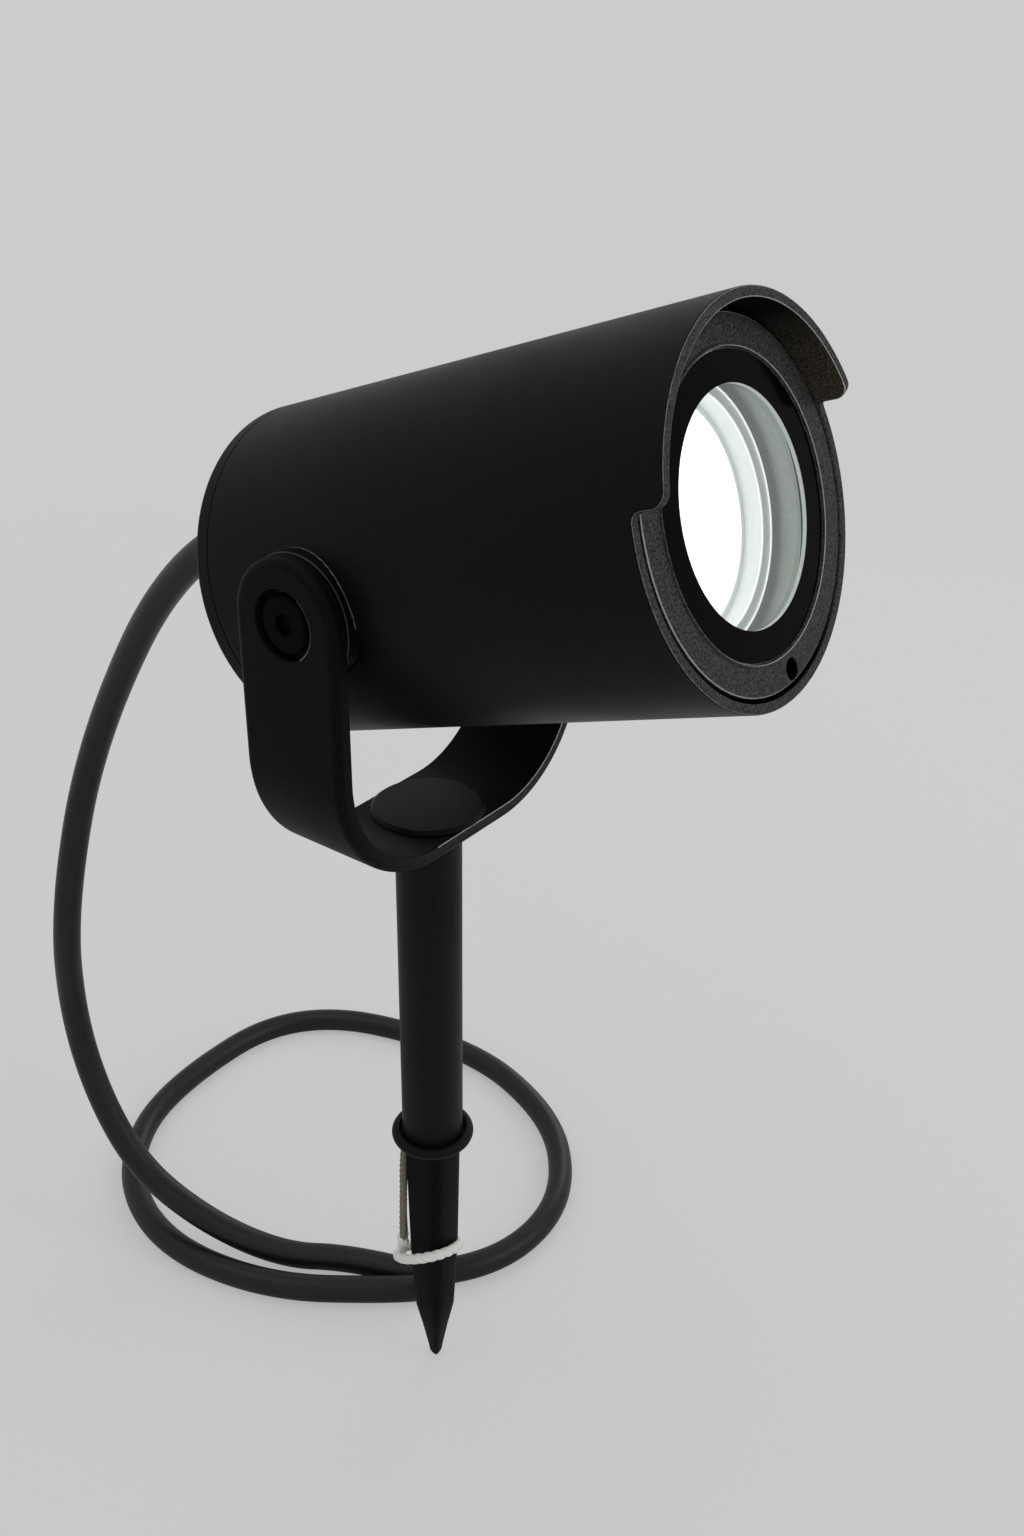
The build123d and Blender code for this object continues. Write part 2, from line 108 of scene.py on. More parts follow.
class Shader:
    """Shorthand for the node tree of one material."""

    def __init__(self, name: str) -> None:
        """Start an empty material with its output.

        Args:
            name: the material's name.
        """
        self.material = bpy.data.materials.new(name)
        self.material.use_nodes = True
        self.nodes = self.material.node_tree.nodes
        self.links = self.material.node_tree.links
        self.nodes.clear()
        self.output = self.nodes.new("ShaderNodeOutputMaterial")
        self.place = self.nodes.new("ShaderNodeTexCoord")

    def add(self, kind: str, **values: object) -> bpy.types.Node:
        """Add a node.

        Args:
            kind: the node's type without its prefix.
            values: attributes, or sockets by name, to set on it.

        Returns:
            The node.
        """
        node = self.nodes.new("ShaderNode" + kind)
        for key, value in values.items():
            if hasattr(node, key):
                setattr(node, key, value)
            else:
                node.inputs[key.replace("_", " ")].default_value = value
        return node

    def noise(
        self, size: float, detail: float = 2.0, roughness: float = 0.5, stretch: Rgb = (1, 1, 1)
    ) -> bpy.types.NodeSocket:
        """Noise on object coordinates.

        Args:
            size: size of its patches in metres.
            detail: octaves.
            roughness: weight of the fine octaves.
            stretch: factor on each axis.

        Returns:
            The noise's factor socket.
        """
        mapping = self.add("Mapping", vector_type="POINT")
        mapping.inputs["Scale"].default_value = stretch
        noise = self.add("TexNoise", Scale=1 / size, Detail=detail, Roughness=roughness)
        self.links.new(self.place.outputs["Object"], mapping.inputs["Vector"])
        self.links.new(mapping.outputs["Vector"], noise.inputs["Vector"])
        return noise.outputs["Fac"]

    def between(
        self,
        factor: bpy.types.NodeSocket,
        low: float,
        high: float,
        start: float = 0.3,
        end: float = 0.7,
    ) -> bpy.types.NodeSocket:
        """Spread a factor between two values.

        Args:
            factor: the socket to spread.
            low: value at start.
            high: value at end.
            start: factor that gives low.
            end: factor that gives high.

        Returns:
            The spread value's socket.
        """
        spread = self.add("MapRange", From_Min=start, From_Max=end, To_Min=low, To_Max=high)
        self.links.new(factor, spread.inputs["Value"])
        return spread.outputs["Result"]

    def blend(self, factor: bpy.types.NodeSocket, dark: Rgb, light: Rgb) -> bpy.types.NodeSocket:
        """Colour between two colours.

        Args:
            factor: the socket that chooses between them.
            dark: colour at 0.
            light: colour at 1.

        Returns:
            The colour's socket.
        """
        ramp = self.add("ValToRGB")
        ramp.color_ramp.elements[0].color = linear(dark)
        ramp.color_ramp.elements[1].color = linear(light)
        self.links.new(factor, ramp.inputs["Fac"])
        return ramp.outputs["Color"]

    def bump(
        self, height: bpy.types.NodeSocket, rise: float, below: bpy.types.NodeSocket | None = None
    ) -> bpy.types.NodeSocket:
        """Normal of a relief.

        Args:
            height: the relief, 0 to 1.
            rise: its height in metres.
            below: the normal of a relief that this one lies on.

        Returns:
            The normal's socket.
        """
        bump = self.add("Bump", Distance=rise, Strength=1.0)
        self.links.new(height, bump.inputs["Height"])
        if below:
            self.links.new(below, bump.inputs["Normal"])
        return bump.outputs["Normal"]

    def finish(self, shader: bpy.types.Node) -> bpy.types.Material:
        """Join the shader to the output and return the material."""
        self.links.new(shader.outputs[0], self.output.inputs["Surface"])
        return self.material


@dataclass(frozen=True)
class Finish:
    """An opaque finish with a fine relief, slow changes of sheen, and speckle.

    Sizes and the span over which the speckle fades in along X are in metres, colours in 0-255.
    The fade along X paints light onto the side of a part where it falls, and the glow makes a part
    other than the lit diffuser shine as painted light.
    """

    name: str
    colour: Rgb
    speckle: Rgb
    roughness: float = 0.45
    specular: float = 0.2
    metallic: float = 0.0
    relief: Relief = Relief.EVEN
    grain: float = 0.0006
    rise: float = 0.00001
    stretch: Rgb = (1, 1, 1)
    glow: float = 0.0
    fade: tuple[float, float] | None = None

    def material(self) -> bpy.types.Material:
        """Build the material, unless it is built already.

        Returns:
            The material.
        """
        if self.name in bpy.data.materials:
            return bpy.data.materials[self.name]
        shader = Shader(self.name)
        detail, fine = self.relief.value
        grain = shader.noise(self.grain, detail, fine, self.stretch)
        drift = shader.noise(DRIFT_SIZE)
        body = shader.add("BsdfPrincipled", Metallic=self.metallic)
        body.inputs["Specular IOR Level"].default_value = self.specular
        links = shader.links
        share = shader.between(grain, 0, 1, *SPECKLE_SPAN)
        if self.fade:
            axes, both = shader.add("SeparateXYZ"), shader.add("Math", operation="MULTIPLY")
            links.new(shader.place.outputs["Object"], axes.inputs[0])
            links.new(shader.between(axes.outputs["X"], 0, 1, *self.fade), both.inputs[0])
            links.new(share, both.inputs[1])
            share = both.outputs[0]
        links.new(shader.blend(share, self.colour, self.speckle), body.inputs["Base Color"])
        low, high = self.roughness - DRIFT_SWING, self.roughness + DRIFT_SWING
        links.new(shader.between(drift, low, high), body.inputs["Roughness"])
        links.new(shader.bump(grain, self.rise), body.inputs["Normal"])
        if self.glow:
            body.inputs["Emission Color"].default_value = linear(self.colour)
            body.inputs["Emission Strength"].default_value = self.glow
        return shader.finish(body)


@dataclass(frozen=True)
class ClearGlass:
    """Clear glass with faint smears."""

    name: str
    tint: tuple[float, float, float, float] = (0.97, 0.99, 0.985, 1)
    index: float = 1.45
    specular: float = 0.3
    smear_size: float = 0.012
    smear: float = 0.03

    def material(self) -> bpy.types.Material:
        """Build the material.

        Returns:
            The material.
        """
        shader = Shader(self.name)
        body = shader.add("BsdfPrincipled", Base_Color=self.tint, IOR=self.index)
        body.inputs["Transmission Weight"].default_value = 1.0
        body.inputs["Specular IOR Level"].default_value = self.specular
        smears = shader.between(shader.noise(self.smear_size), 0.0, self.smear)
        shader.links.new(smears, body.inputs["Roughness"])
        return shader.finish(body)


BARREL_PAINT = Finish(
    "barrel_powder_coat",
    (9, 9, 8),
    (13, 13, 12),
    roughness=0.45,
    specular=0.08,
    grain=0.0009,
    rise=0.000012,
)
# Inside of the shade: a dark coat whose light speckle fades in towards +X, a painted reflection of
# light on that side.
SHADE_INSIDE_PAINTED_LIGHT = Finish(
    "shade_inside_painted_light",
    (5, 5, 5),
    (112, 104, 90),
    roughness=0.5,
    specular=0.04,
    relief=Relief.SANDY,
    grain=0.0004,
    rise=0.00005,
    fade=(0.013, 0.034),
)
# Sandy coat of the bezel; on the sleeve's rim face it stands in as a lit copy of the sleeve's own
# coat, painted light.
BEZEL_COAT_AND_RIM_PAINTED_LIGHT = Finish(
    "bezel_sand_coat_and_rim_painted_light",
    (9, 9, 9),
    (88, 88, 88),
    roughness=0.5,
    specular=0.06,
    relief=Relief.SANDY,
    grain=0.00042,
    rise=0.00006,
)
# Painted highlight: thin bright lines along rounded edges, where light catches them.
EDGE_PAINTED_HIGHLIGHT = Finish(
    "edge_painted_highlight",
    (142, 143, 141),
    (186, 187, 184),
    roughness=0.4,
    specular=0.2,
    relief=Relief.SANDY,
    grain=0.0006,
    rise=0.00001,
)
# Painted highlight: fainter bright lines on the sleeve's outer rim edge, the spacers' edge and the
# front of the recess mouths.
RIM_PAINTED_HIGHLIGHT = Finish(
    "rim_painted_highlight",
    (72, 72, 71),
    (138, 138, 136),
    roughness=0.4,
    specular=0.15,
    relief=Relief.SANDY,
    grain=0.0005,
    rise=0.00002,
)
YOKE_PAINT = Finish(
    "yoke_powder_coat",
    (8, 8, 7),
    (12, 12, 11),
    roughness=0.45,
    specular=0.05,
    grain=0.0008,
    rise=0.000012,
)
# Painted light: the bar's lit front face gets lighter speckle that fades in towards +X.
YOKE_EDGE_PAINTED_LIGHT = Finish(
    "yoke_edge_painted_light",
    (10, 10, 9),
    (62, 61, 58),
    roughness=0.45,
    specular=0.06,
    relief=Relief.SANDY,
    grain=0.0006,
    rise=0.00003,
    fade=(-0.032, -0.006),
)
COVER_PAINT = Finish(
    "cover_satin_coat",
    (20, 20, 19),
    (27, 27, 25),
    roughness=0.45,
    specular=0.1,
    grain=0.0007,
    rise=0.000015,
)
POST_PAINT = Finish(
    "post_satin_coat",
    (12, 13, 12),
    (17, 18, 16),
    roughness=0.48,
    specular=0.1,
    grain=0.0009,
    rise=0.000012,
)
SPIKE_PAINT = Finish(
    "spike_satin_coat",
    (7, 8, 7),
    (11, 11, 10),
    roughness=0.5,
    specular=0.04,
    grain=0.0007,
    rise=0.000018,
)
SPACER_NYLON = Finish(
    "spacer_gloss_nylon",
    (5, 5, 5),
    (8, 8, 8),
    roughness=0.2,
    specular=0.3,
    grain=0.002,
    rise=0.000004,
)
GLAND_NYLON = Finish(
    "gland_nylon",
    (12, 12, 12),
    (17, 17, 17),
    roughness=0.42,
    specular=0.2,
    grain=0.0005,
    rise=0.000015,
)
# Blackened steel of the screws and plugs, darkened further as painted shade for the screws in their
# recesses; it also paints the shade inside the bezel's screw hole.
BLACK_STEEL_AND_PAINTED_SHADE = Finish(
    "blackened_steel_and_painted_shade",
    (3, 3, 3),
    (6, 6, 5),
    roughness=0.5,
    specular=0.03,
    grain=0.0004,
    rise=0.000012,
)
ZINC_STEEL = Finish(
    "zinc_steel",
    (150, 152, 155),
    (176, 178, 182),
    roughness=0.32,
    specular=0.5,
    metallic=1.0,
    relief=Relief.SANDY,
    grain=0.0004,
    rise=0.000008,
)
PRINT_BLACK = Finish(
    "printed_border",
    (2, 2, 2),
    (4, 4, 4),
    roughness=0.12,
    specular=0.02,
    grain=0.003,
    rise=0.000002,
)
# Frosted edge of the clear opening; its glow is painted light from the lamp inside.
FROSTED_EDGE_PAINTED_GLOW = Finish(
    "frosted_glass_edge_painted_glow",
    (186, 194, 190),
    (212, 218, 214),
    roughness=0.55,
    specular=0.3,
    relief=Relief.SANDY,
    grain=0.0003,
    rise=0.00003,
    glow=0.3,
)
BAFFLE_WHITE = Finish(
    "baffle_satin_white",
    (168, 176, 171),
    (180, 188, 183),
    roughness=0.42,
    specular=0.25,
    grain=0.0006,
    rise=0.000012,
)
# Painted highlight on the baffle's step edges, glowing as painted light from the lamp inside.
STEP_EDGE_PAINTED_HIGHLIGHT = Finish(
    "baffle_step_edge_painted_highlight",
    (240, 244, 242),
    (248, 250, 249),
    roughness=0.3,
    specular=0.4,
    grain=0.0008,
    rise=0.000006,
    glow=0.75,
)
# The baffle's step faces glow a little: painted light from the lamp inside.
STEP_FACE_PAINTED_GLOW = Finish(
    "baffle_step_face_painted_glow",
    (200, 207, 203),
    (210, 216, 212),
    roughness=0.35,
    specular=0.3,
    grain=0.0008,
    rise=0.000006,
    glow=0.25,
)
# The baffle's narrow bore and the diffuser's outer ring glow a little: painted light from the lamp
# inside.
LIT_BORE = Finish(
    "baffle_lit_bore",
    (226, 232, 229),
    (234, 239, 237),
    roughness=0.35,
    specular=0.3,
    grain=0.0008,
    rise=0.000006,
    glow=0.2,
)
LIT_DISC = Finish(
    "lit_diffuser",
    (255, 255, 252),
    (255, 255, 254),
    roughness=0.6,
    specular=0.2,
    grain=0.0006,
    rise=0.000008,
    glow=1.25,
)
SEAL_RUBBER = Finish(
    "seal_black_rubber",
    (15, 15, 15),
    (21, 21, 20),
    roughness=0.6,
    specular=0.15,
    grain=0.0005,
    rise=0.00002,
)
BOARD_WHITE = Finish(
    "board_solder_mask",
    (205, 208, 203),
    (219, 221, 216),
    roughness=0.35,
    specular=0.4,
    grain=0.0006,
    rise=0.00001,
)
SINK_ALLOY = Finish(
    "heat_sink_alloy",
    (140, 142, 145),
    (166, 168, 171),
    roughness=0.4,
    specular=0.5,
    metallic=1.0,
    relief=Relief.SANDY,
    grain=0.0005,
    rise=0.00002,
)
DRIVER_SHELL = Finish(
    "driver_shell",
    (34, 35, 36),
    (42, 43, 44),
    roughness=0.5,
    specular=0.3,
    grain=0.0006,
    rise=0.00002,
)
LEAD_RUBBER = Finish(
    "lead_black_rubber",
    (12, 12, 11),
    (30, 30, 28),
    roughness=0.4,
    specular=0.28,
    relief=Relief.SANDY,
    grain=0.0007,
    rise=0.00003,
)
CORE_BROWN = Finish(
    "core_insulation",
    (98, 62, 40),
    (112, 74, 50),
    roughness=0.4,
    specular=0.35,
    grain=0.0006,
    rise=0.00001,
)
STRING_WHITE = Finish(
    "cotton_string",
    (216, 215, 211),
    (234, 233, 230),
    roughness=0.85,
    specular=0.1,
    relief=Relief.FIBROUS,
    grain=0.0003,
    rise=0.00004,
)
# The doubled strand is the same white string in painted shade: its grey stands for the shade it
# hangs in.
STRING_PAINTED_SHADE = Finish(
    "string_painted_shade",
    (92, 87, 78),
    (150, 144, 132),
    roughness=0.85,
    specular=0.1,
    relief=Relief.FIBROUS,
    grain=0.0003,
    rise=0.00006,
)


# ---------------------------------------------------------------- mesh making


def rounded(
    corners: Sequence[tuple[float, float, float]], closed: bool = False, steps: int = 5
) -> Outline:
    """Outline whose corners are rounded.

    Args:
        corners: (x, y, radius) of each corner; radius 0 keeps it sharp.
        closed: whether the last corner joins the first.
        steps: faces in each rounded corner.

    Returns:
        The outline's points, with one just before and after each rounding.
    """
    points: Outline = []
    count = len(corners)
    for i, (x, y, radius) in enumerate(corners):
        here = Vector((x, y))
        if not radius or (not closed and i in (0, count - 1)):
            points.append((x, y))
            continue
        back = Vector(corners[i - 1][:2]) - here
        ahead = Vector(corners[(i + 1) % count][:2]) - here
        room = min(back.length, ahead.length)
        back.normalize()
        ahead.normalize()
        half = back.angle(ahead) / 2
        reach = radius / math.tan(half)
        centre = here + (back + ahead).normalized() * (radius / math.sin(half))
        first = here + back * reach - centre
        last = here + ahead * reach - centre
        turn = math.atan2(first.x * last.y - first.y * last.x, first.dot(last))
        guard = min(reach * GUARD, (reach + room) / 2) if room > reach else 0
        if guard:
            points.append(tuple(here + back * guard))
        for k in range(steps + 1):
            a = turn * k / steps
            c, s = math.cos(a), math.sin(a)
            across, up = first.x * c - first.y * s, first.x * s + first.y * c
            points.append((centre.x + across, centre.y + up))
        if guard:
            points.append(tuple(here + ahead * guard))
    return points


def tidy(mesh: bpy.types.Mesh, sharp: float = SHARP) -> bpy.types.Mesh:
    """Merge doubles, turn the faces outwards and shade smooth up to an angle.

    Args:
        mesh: the mesh to tidy.
        sharp: angle in degrees from which an edge is sharp.

    Returns:
        The same mesh.
    """
    work = bmesh.new()
    work.from_mesh(mesh)
    bmesh.ops.remove_doubles(work, verts=work.verts, dist=MERGE)
    bmesh.ops.dissolve_degenerate(work, dist=SLIVER, edges=work.edges)
    bmesh.ops.recalc_face_normals(work, faces=work.faces)
    for face in work.faces:
        face.smooth = True
    work.to_mesh(mesh)
    work.free()
    mesh.set_sharp_from_angle(angle=math.radians(sharp))
    return mesh


def solid(
    name: str, points: Sequence[Sequence[float]], faces: Sequence[Sequence[int]], place: Matrix
) -> bpy.types.Object:
    """Object from points in millimetres.

    Args:
        name: the object's name.
        points: its points.
        faces: its faces, as numbers of points.
        place: from millimetres on its own axes to the shared frame.

    Returns:
        The object, at the origin.
    """
    mesh = bpy.data.meshes.new(name)
    mesh.from_pydata([place @ Vector(p) for p in points], [], faces)
    piece = bpy.data.objects.new(name, tidy(mesh))
    bpy.context.collection.objects.link(piece)
    return piece


def turned(
    name: str, profile: Outline, place: Matrix, closed: bool = True, segments: int = 96
) -> bpy.types.Object:
    """Piece turned round its own Z axis.

    Args:
        name: the object's name.
        profile: (radius, height) points.
        place: from its own axes to the shared frame.
        closed: whether the profile closes on itself; one that is open ends on the axis.
        segments: faces round the axis.

    Returns:
        The object.
    """
    points, faces, rings = [], [], []
    for radius, height in profile:
        if radius < ON_AXIS:
            rings.append([len(points)] * segments)
            points.append((0, 0, height))
            continue
        rings.append(list(range(len(points), len(points) + segments)))
        for k in range(segments):
            a = math.tau * k / segments
            points.append((radius * math.cos(a), radius * math.sin(a), height))
    ends = rings[1:] + rings[:1] if closed else rings[1:]
    for low, high in zip(rings, ends):
        for k in range(segments):
            j = (k + 1) % segments
            face = list(dict.fromkeys((low[k], low[j], high[j], high[k])))
            if len(face) > 2:
                faces.append(face)
    return solid(name, points, faces, place)


def ring(inner: float, outer: float, low: float, high: float, edge: float = 0.2) -> Outline:
    """Profile of a ring whose four edges are rounded alike.

    Args:
        inner: its inner radius.
        outer: its outer radius.
        low: height of its lower face.
        high: height of its upper face.
        edge: radius of its edges.

    Returns:
        The profile, as (radius, height) points.
    """
    corners = [(inner, low, edge), (outer, low, edge), (outer, high, edge), (inner, high, edge)]
    return rounded(corners, closed=True, steps=4)


def plug(radius: float, low: float, high: float) -> Outline:
    """Profile of a plain cylinder that ends on the axis."""
    return [(0, low), (radius, low), (radius, high), (0, high)]


def baked(piece: bpy.types.Object) -> bpy.types.Object:
    """Replace a piece's mesh by the result of its modifiers, and remove them.

    Args:
        piece: the object.

    Returns:
        The same object.
    """
    graph = bpy.context.evaluated_depsgraph_get()
    graph.update()
    piece.data = bpy.data.meshes.new_from_object(piece.evaluated_get(graph))
    piece.data.name = piece.name
    piece.modifiers.clear()
    return piece


def bored(
    piece: bpy.types.Object, *tools: bpy.types.Object, sharp: float = SHARP
) -> bpy.types.Object:
    """Cut tools out of a piece.

    Args:
        piece: the object to cut.
        tools: the cutters, which are removed.
        sharp: angle in degrees from which an edge is sharp.

    Returns:
        The cut object.
    """
    for tool in tools:
        cut = piece.modifiers.new("cut", "BOOLEAN")
        cut.operation, cut.solver, cut.object = "DIFFERENCE", "EXACT", tool
        baked(piece)
        bpy.data.objects.remove(tool)
    tidy(piece.data, sharp)
    return piece


def eased(piece: bpy.types.Object, width: float, steps: int) -> bpy.types.Object:
    """Round a piece's edges that turn by 30 degrees or more.

    Args:
        piece: the object.
        width: width of the rounding in millimetres.
        steps: faces across it.

    Returns:
        The object.
    """
    bevel = piece.modifiers.new("ease", "BEVEL")
    bevel.width, bevel.segments = width * MM, steps
    bevel.limit_method, bevel.angle_limit = "ANGLE", math.radians(30)
    baked(piece)
    tidy(piece.data, sharp=35)
    return piece


def along_x(side: int) -> Matrix:
    """Place for a piece turned round the pivot line, whose own Z points to that side."""
    turn = Matrix(((0, 0, side, 0), (0, side, 0, 0), (-1, 0, 0, 0), (0, 0, 0, 1)))
    return UPRIGHT @ Matrix.Translation((0, 0, PIVOT_Z)) @ turn


def put(
    piece: bpy.types.Object, body: str, slot: str, finish: Finish | ClearGlass, *nodes: str
) -> bpy.types.Object:
    """Dress a piece and hang it on its body.

    Args:
        piece: the object.
        body: the body it rides on.
        slot: not used.
        finish: its finish.
        nodes: the CAD nodes that it stands for.

    Returns:
        The object.
    """
    piece.data.materials.clear()
    piece.data.materials.append(finish.material())
    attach(piece, body)
    if nodes:
        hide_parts(*nodes)
    LOG.info("%s: %d faces, rides %s", piece.name, len(piece.data.polygons), body)
    return piece


def dress_nodes(finish: Finish, *nodes: str) -> None:
    """Give CAD nodes their finish.

    Args:
        finish: the finish.
        nodes: the nodes, which stay CAD solids.
    """
    for node in nodes:
        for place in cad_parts[node].material_slots:
            place.material = finish.material()
        LOG.info("%s: CAD solid, %s", node, finish.name)


def joined(name: str, *parts: bpy.types.Object) -> bpy.types.Object:
    """Join parts into one object.

    Args:
        name: the new object's name.
        parts: the objects, which are removed.

    Returns:
        The joined object.
    """
    work = bmesh.new()
    for part in parts:
        work.from_mesh(part.data)
        bpy.data.objects.remove(part)
    mesh = bpy.data.meshes.new(name)
    work.to_mesh(mesh)
    work.free()
    mesh.set_sharp_from_angle(angle=math.radians(SHARP))
    piece = bpy.data.objects.new(name, mesh)
    bpy.context.collection.objects.link(piece)
    return piece


# ---------------------------------------------------------------- node trees


class Tree:
    """A Geometry Nodes tree that takes a piece's mesh, is run on it and baked."""

    def __init__(self, name: str) -> None:
        """Start a tree that takes and gives a geometry.

        Args:
            name: the tree's name.
        """
        self.group = bpy.data.node_groups.new(name, "GeometryNodeTree")
        self.group.interface.new_socket(
            "Geometry", in_out="INPUT", socket_type="NodeSocketGeometry"
        )
        self.group.interface.new_socket(
            "Geometry", in_out="OUTPUT", socket_type="NodeSocketGeometry"
        )
        self.start = self.group.nodes.new("NodeGroupInput")
        self.end = self.group.nodes.new("NodeGroupOutput")
        self.keys: dict[str, str] = {}

    def size(self, name: str, kind: str = "Float") -> None:
        """Add a named input for a size."""
        socket = self.group.interface.new_socket(
            name, in_out="INPUT", socket_type="NodeSocket" + kind
        )
        self.keys[name] = socket.identifier

    def add(self, kind: str, *sources: object, **settings: object) -> bpy.types.Node:
        """Add a node.

        Args:
            kind: the node's full type.
            sources: for each input in order, a socket, a value, an input's name, or None.
            settings: attributes to set first.

        Returns:
            The node.
        """
        node = self.group.nodes.new(kind)
        for key, value in settings.items():
            setattr(node, key, value)
        for socket, source in zip([s for s in node.inputs if s.enabled], sources):
            if isinstance(source, str):
                source = self.start.outputs[source]
            if isinstance(source, bpy.types.NodeSocket):
                self.group.links.new(source, socket)
            elif source is not None:
                socket.default_value = source
        return node

    def math(self, operation: str, *sources: object) -> bpy.types.NodeSocket:
        """Add a maths node and return its result."""
        return self.add("ShaderNodeMath", *sources, operation=operation).outputs[0]

    def vector(self, operation: str, *sources: object) -> bpy.types.NodeSocket:
        """Add a vector maths node and return its result."""
        return self.add("ShaderNodeVectorMath", *sources, operation=operation).outputs[0]

    def close(self, geometry: bpy.types.NodeSocket) -> None:
        """End the tree in Realize Instances and Set Material.

        Args:
            geometry: the socket that holds the finished geometry.
        """
        self.size("Finish", "Material")
        real = self.add("GeometryNodeRealizeInstances", geometry)
        smooth = self.add("GeometryNodeSetShadeSmooth", real.outputs[0])
        painted = self.add("GeometryNodeSetMaterial", smooth.outputs[0], None, "Finish")
        self.group.links.new(painted.outputs[0], self.end.inputs[0])

    def run(self, piece: bpy.types.Object, **sizes: object) -> bpy.types.Object:
        """Run the tree on a piece and bake it.

        Args:
            piece: the object.
            sizes: values of the named inputs.

        Returns:
            The baked object.
        """
        modifier = piece.modifiers.new(self.group.name, "NODES")
        modifier.node_group = self.group
        for name, value in sizes.items():
            modifier[self.keys[name]] = value
        return baked(piece)


def twist_tree() -> Tree:
    """Tree that turns a line of edges into a twisted cord.

    Returns:
        The tree; its strands all wind the same way round the line.
    """
    tree = Tree("twisted_cord")
    for name in ("Radius", "Strand", "Turns"):
        tree.size(name)
    tree.size("Strands", "Int")
    line = tree.add("GeometryNodeMeshToCurve", "Geometry")
    even = tree.add("GeometryNodeResampleCurve", line.outputs[0], None, mode="LENGTH")
    even.inputs["Length"].default_value = TWIST_STEP
    copies = tree.add(
        "GeometryNodeDuplicateElements", even.outputs[0], None, "Strands", domain="SPLINE"
    )
    along = tree.add("GeometryNodeSplineParameter").outputs["Length"]
    wound = tree.math("MULTIPLY", along, "Turns")
    offset = tree.math("DIVIDE", copies.outputs["Duplicate Index"], "Strands")
    angle = tree.math("MULTIPLY", tree.math("ADD", wound, offset), math.tau)
    normal = tree.add("GeometryNodeInputNormal").outputs[0]
    tangent = tree.add("GeometryNodeInputTangent").outputs[0]
    side = tree.vector("CROSS_PRODUCT", tangent, normal)
    spokes = []
    for direction, part in ((normal, "COSINE"), (side, "SINE")):
        scale = tree.add("ShaderNodeVectorMath", operation="SCALE")
        tree.group.links.new(direction, scale.inputs[0])
        reach = tree.math("MULTIPLY", tree.math(part, angle), "Radius")
        tree.group.links.new(reach, scale.inputs["Scale"])
        spokes.append(scale.outputs[0])
    moved = tree.add("GeometryNodeSetPosition", copies.outputs[0])
    tree.group.links.new(tree.vector("ADD", spokes[0], spokes[1]), moved.inputs["Offset"])
    section = tree.add("GeometryNodeCurvePrimitiveCircle")
    section.inputs["Resolution"].default_value = TWIST_SIDES
    tree.group.links.new(tree.start.outputs["Strand"], section.inputs["Radius"])
    sweep = tree.add("GeometryNodeCurveToMesh", moved.outputs[0], section.outputs[0])
    sweep.inputs["Fill Caps"].default_value = True
    tree.close(sweep.outputs[0])
    return tree


def grip_tree() -> Tree:
    """Tree that sets grip ribs round a nut's own mesh.

    Returns:
        The tree; its ribs stand round the gland's axis.
    """
    tree = Tree("grip_ribs")
    tree.size("Ribs", "Int")
    for name in ("Circle", "Rib", "Long"):
        tree.size(name)
    tree.size("Centre", "Vector")
    tree.size("Lean", "Vector")
    circle = tree.add("GeometryNodeMeshCircle", "Ribs", "Circle")
    rib = tree.add("GeometryNodeMeshCylinder", 8, 2, 1, "Rib", "Long")
    stand = tree.add("GeometryNodeInstanceOnPoints", circle.outputs[0], None, rib.outputs["Mesh"])
    turned_ribs = tree.add("GeometryNodeTransform", stand.outputs[0])
    tree.group.links.new(tree.start.outputs["Centre"], turned_ribs.inputs["Translation"])
    tree.group.links.new(tree.start.outputs["Lean"], turned_ribs.inputs["Rotation"])
    both = tree.add("GeometryNodeJoinGeometry")
    tree.group.links.new(turned_ribs.outputs[0], both.inputs[0])
    tree.group.links.new(tree.start.outputs["Geometry"], both.inputs[0])
    tree.close(both.outputs[0])
    return tree


def line_piece(name: str, points: Sequence[Vector], closed: bool = False) -> bpy.types.Object:
    """Object that is a line of edges.

    Args:
        name: the object's name.
        points: its points in millimetres.
        closed: whether the last joins the first.

    Returns:
        The object.
    """
    mesh = bpy.data.meshes.new(name)
    edges = [(i, i + 1) for i in range(len(points) - 1)]
    if closed:
        edges.append((len(points) - 1, 0))
    mesh.from_pydata([p * MM for p in points], edges, [])
    piece = bpy.data.objects.new(name, mesh)
    bpy.context.collection.objects.link(piece)
    return piece


def repaint(
    piece: bpy.types.Object, finish: Finish, place: Matrix, where: Callable[[float, Vector], bool]
) -> None:
    """Give some faces of a piece another finish.

    Args:
        piece: the object, dressed already.
        finish: the other finish.
        place: the piece's own axes, as it was made with.
        where: chooses faces by the radius and place of their middle in millimetres. Its bounds
            lie a little off the surfaces they name, so that rounding can't change the choice.
    """
    piece.data.materials.append(finish.material())
    number = len(piece.data.materials) - 1
    back = place.inverted()
    for face in piece.data.polygons:
        middle = back @ face.center
        if where(math.hypot(middle.x, middle.y), middle):
            face.material_index = number


# ---------------------------------------------------------------- lamp head


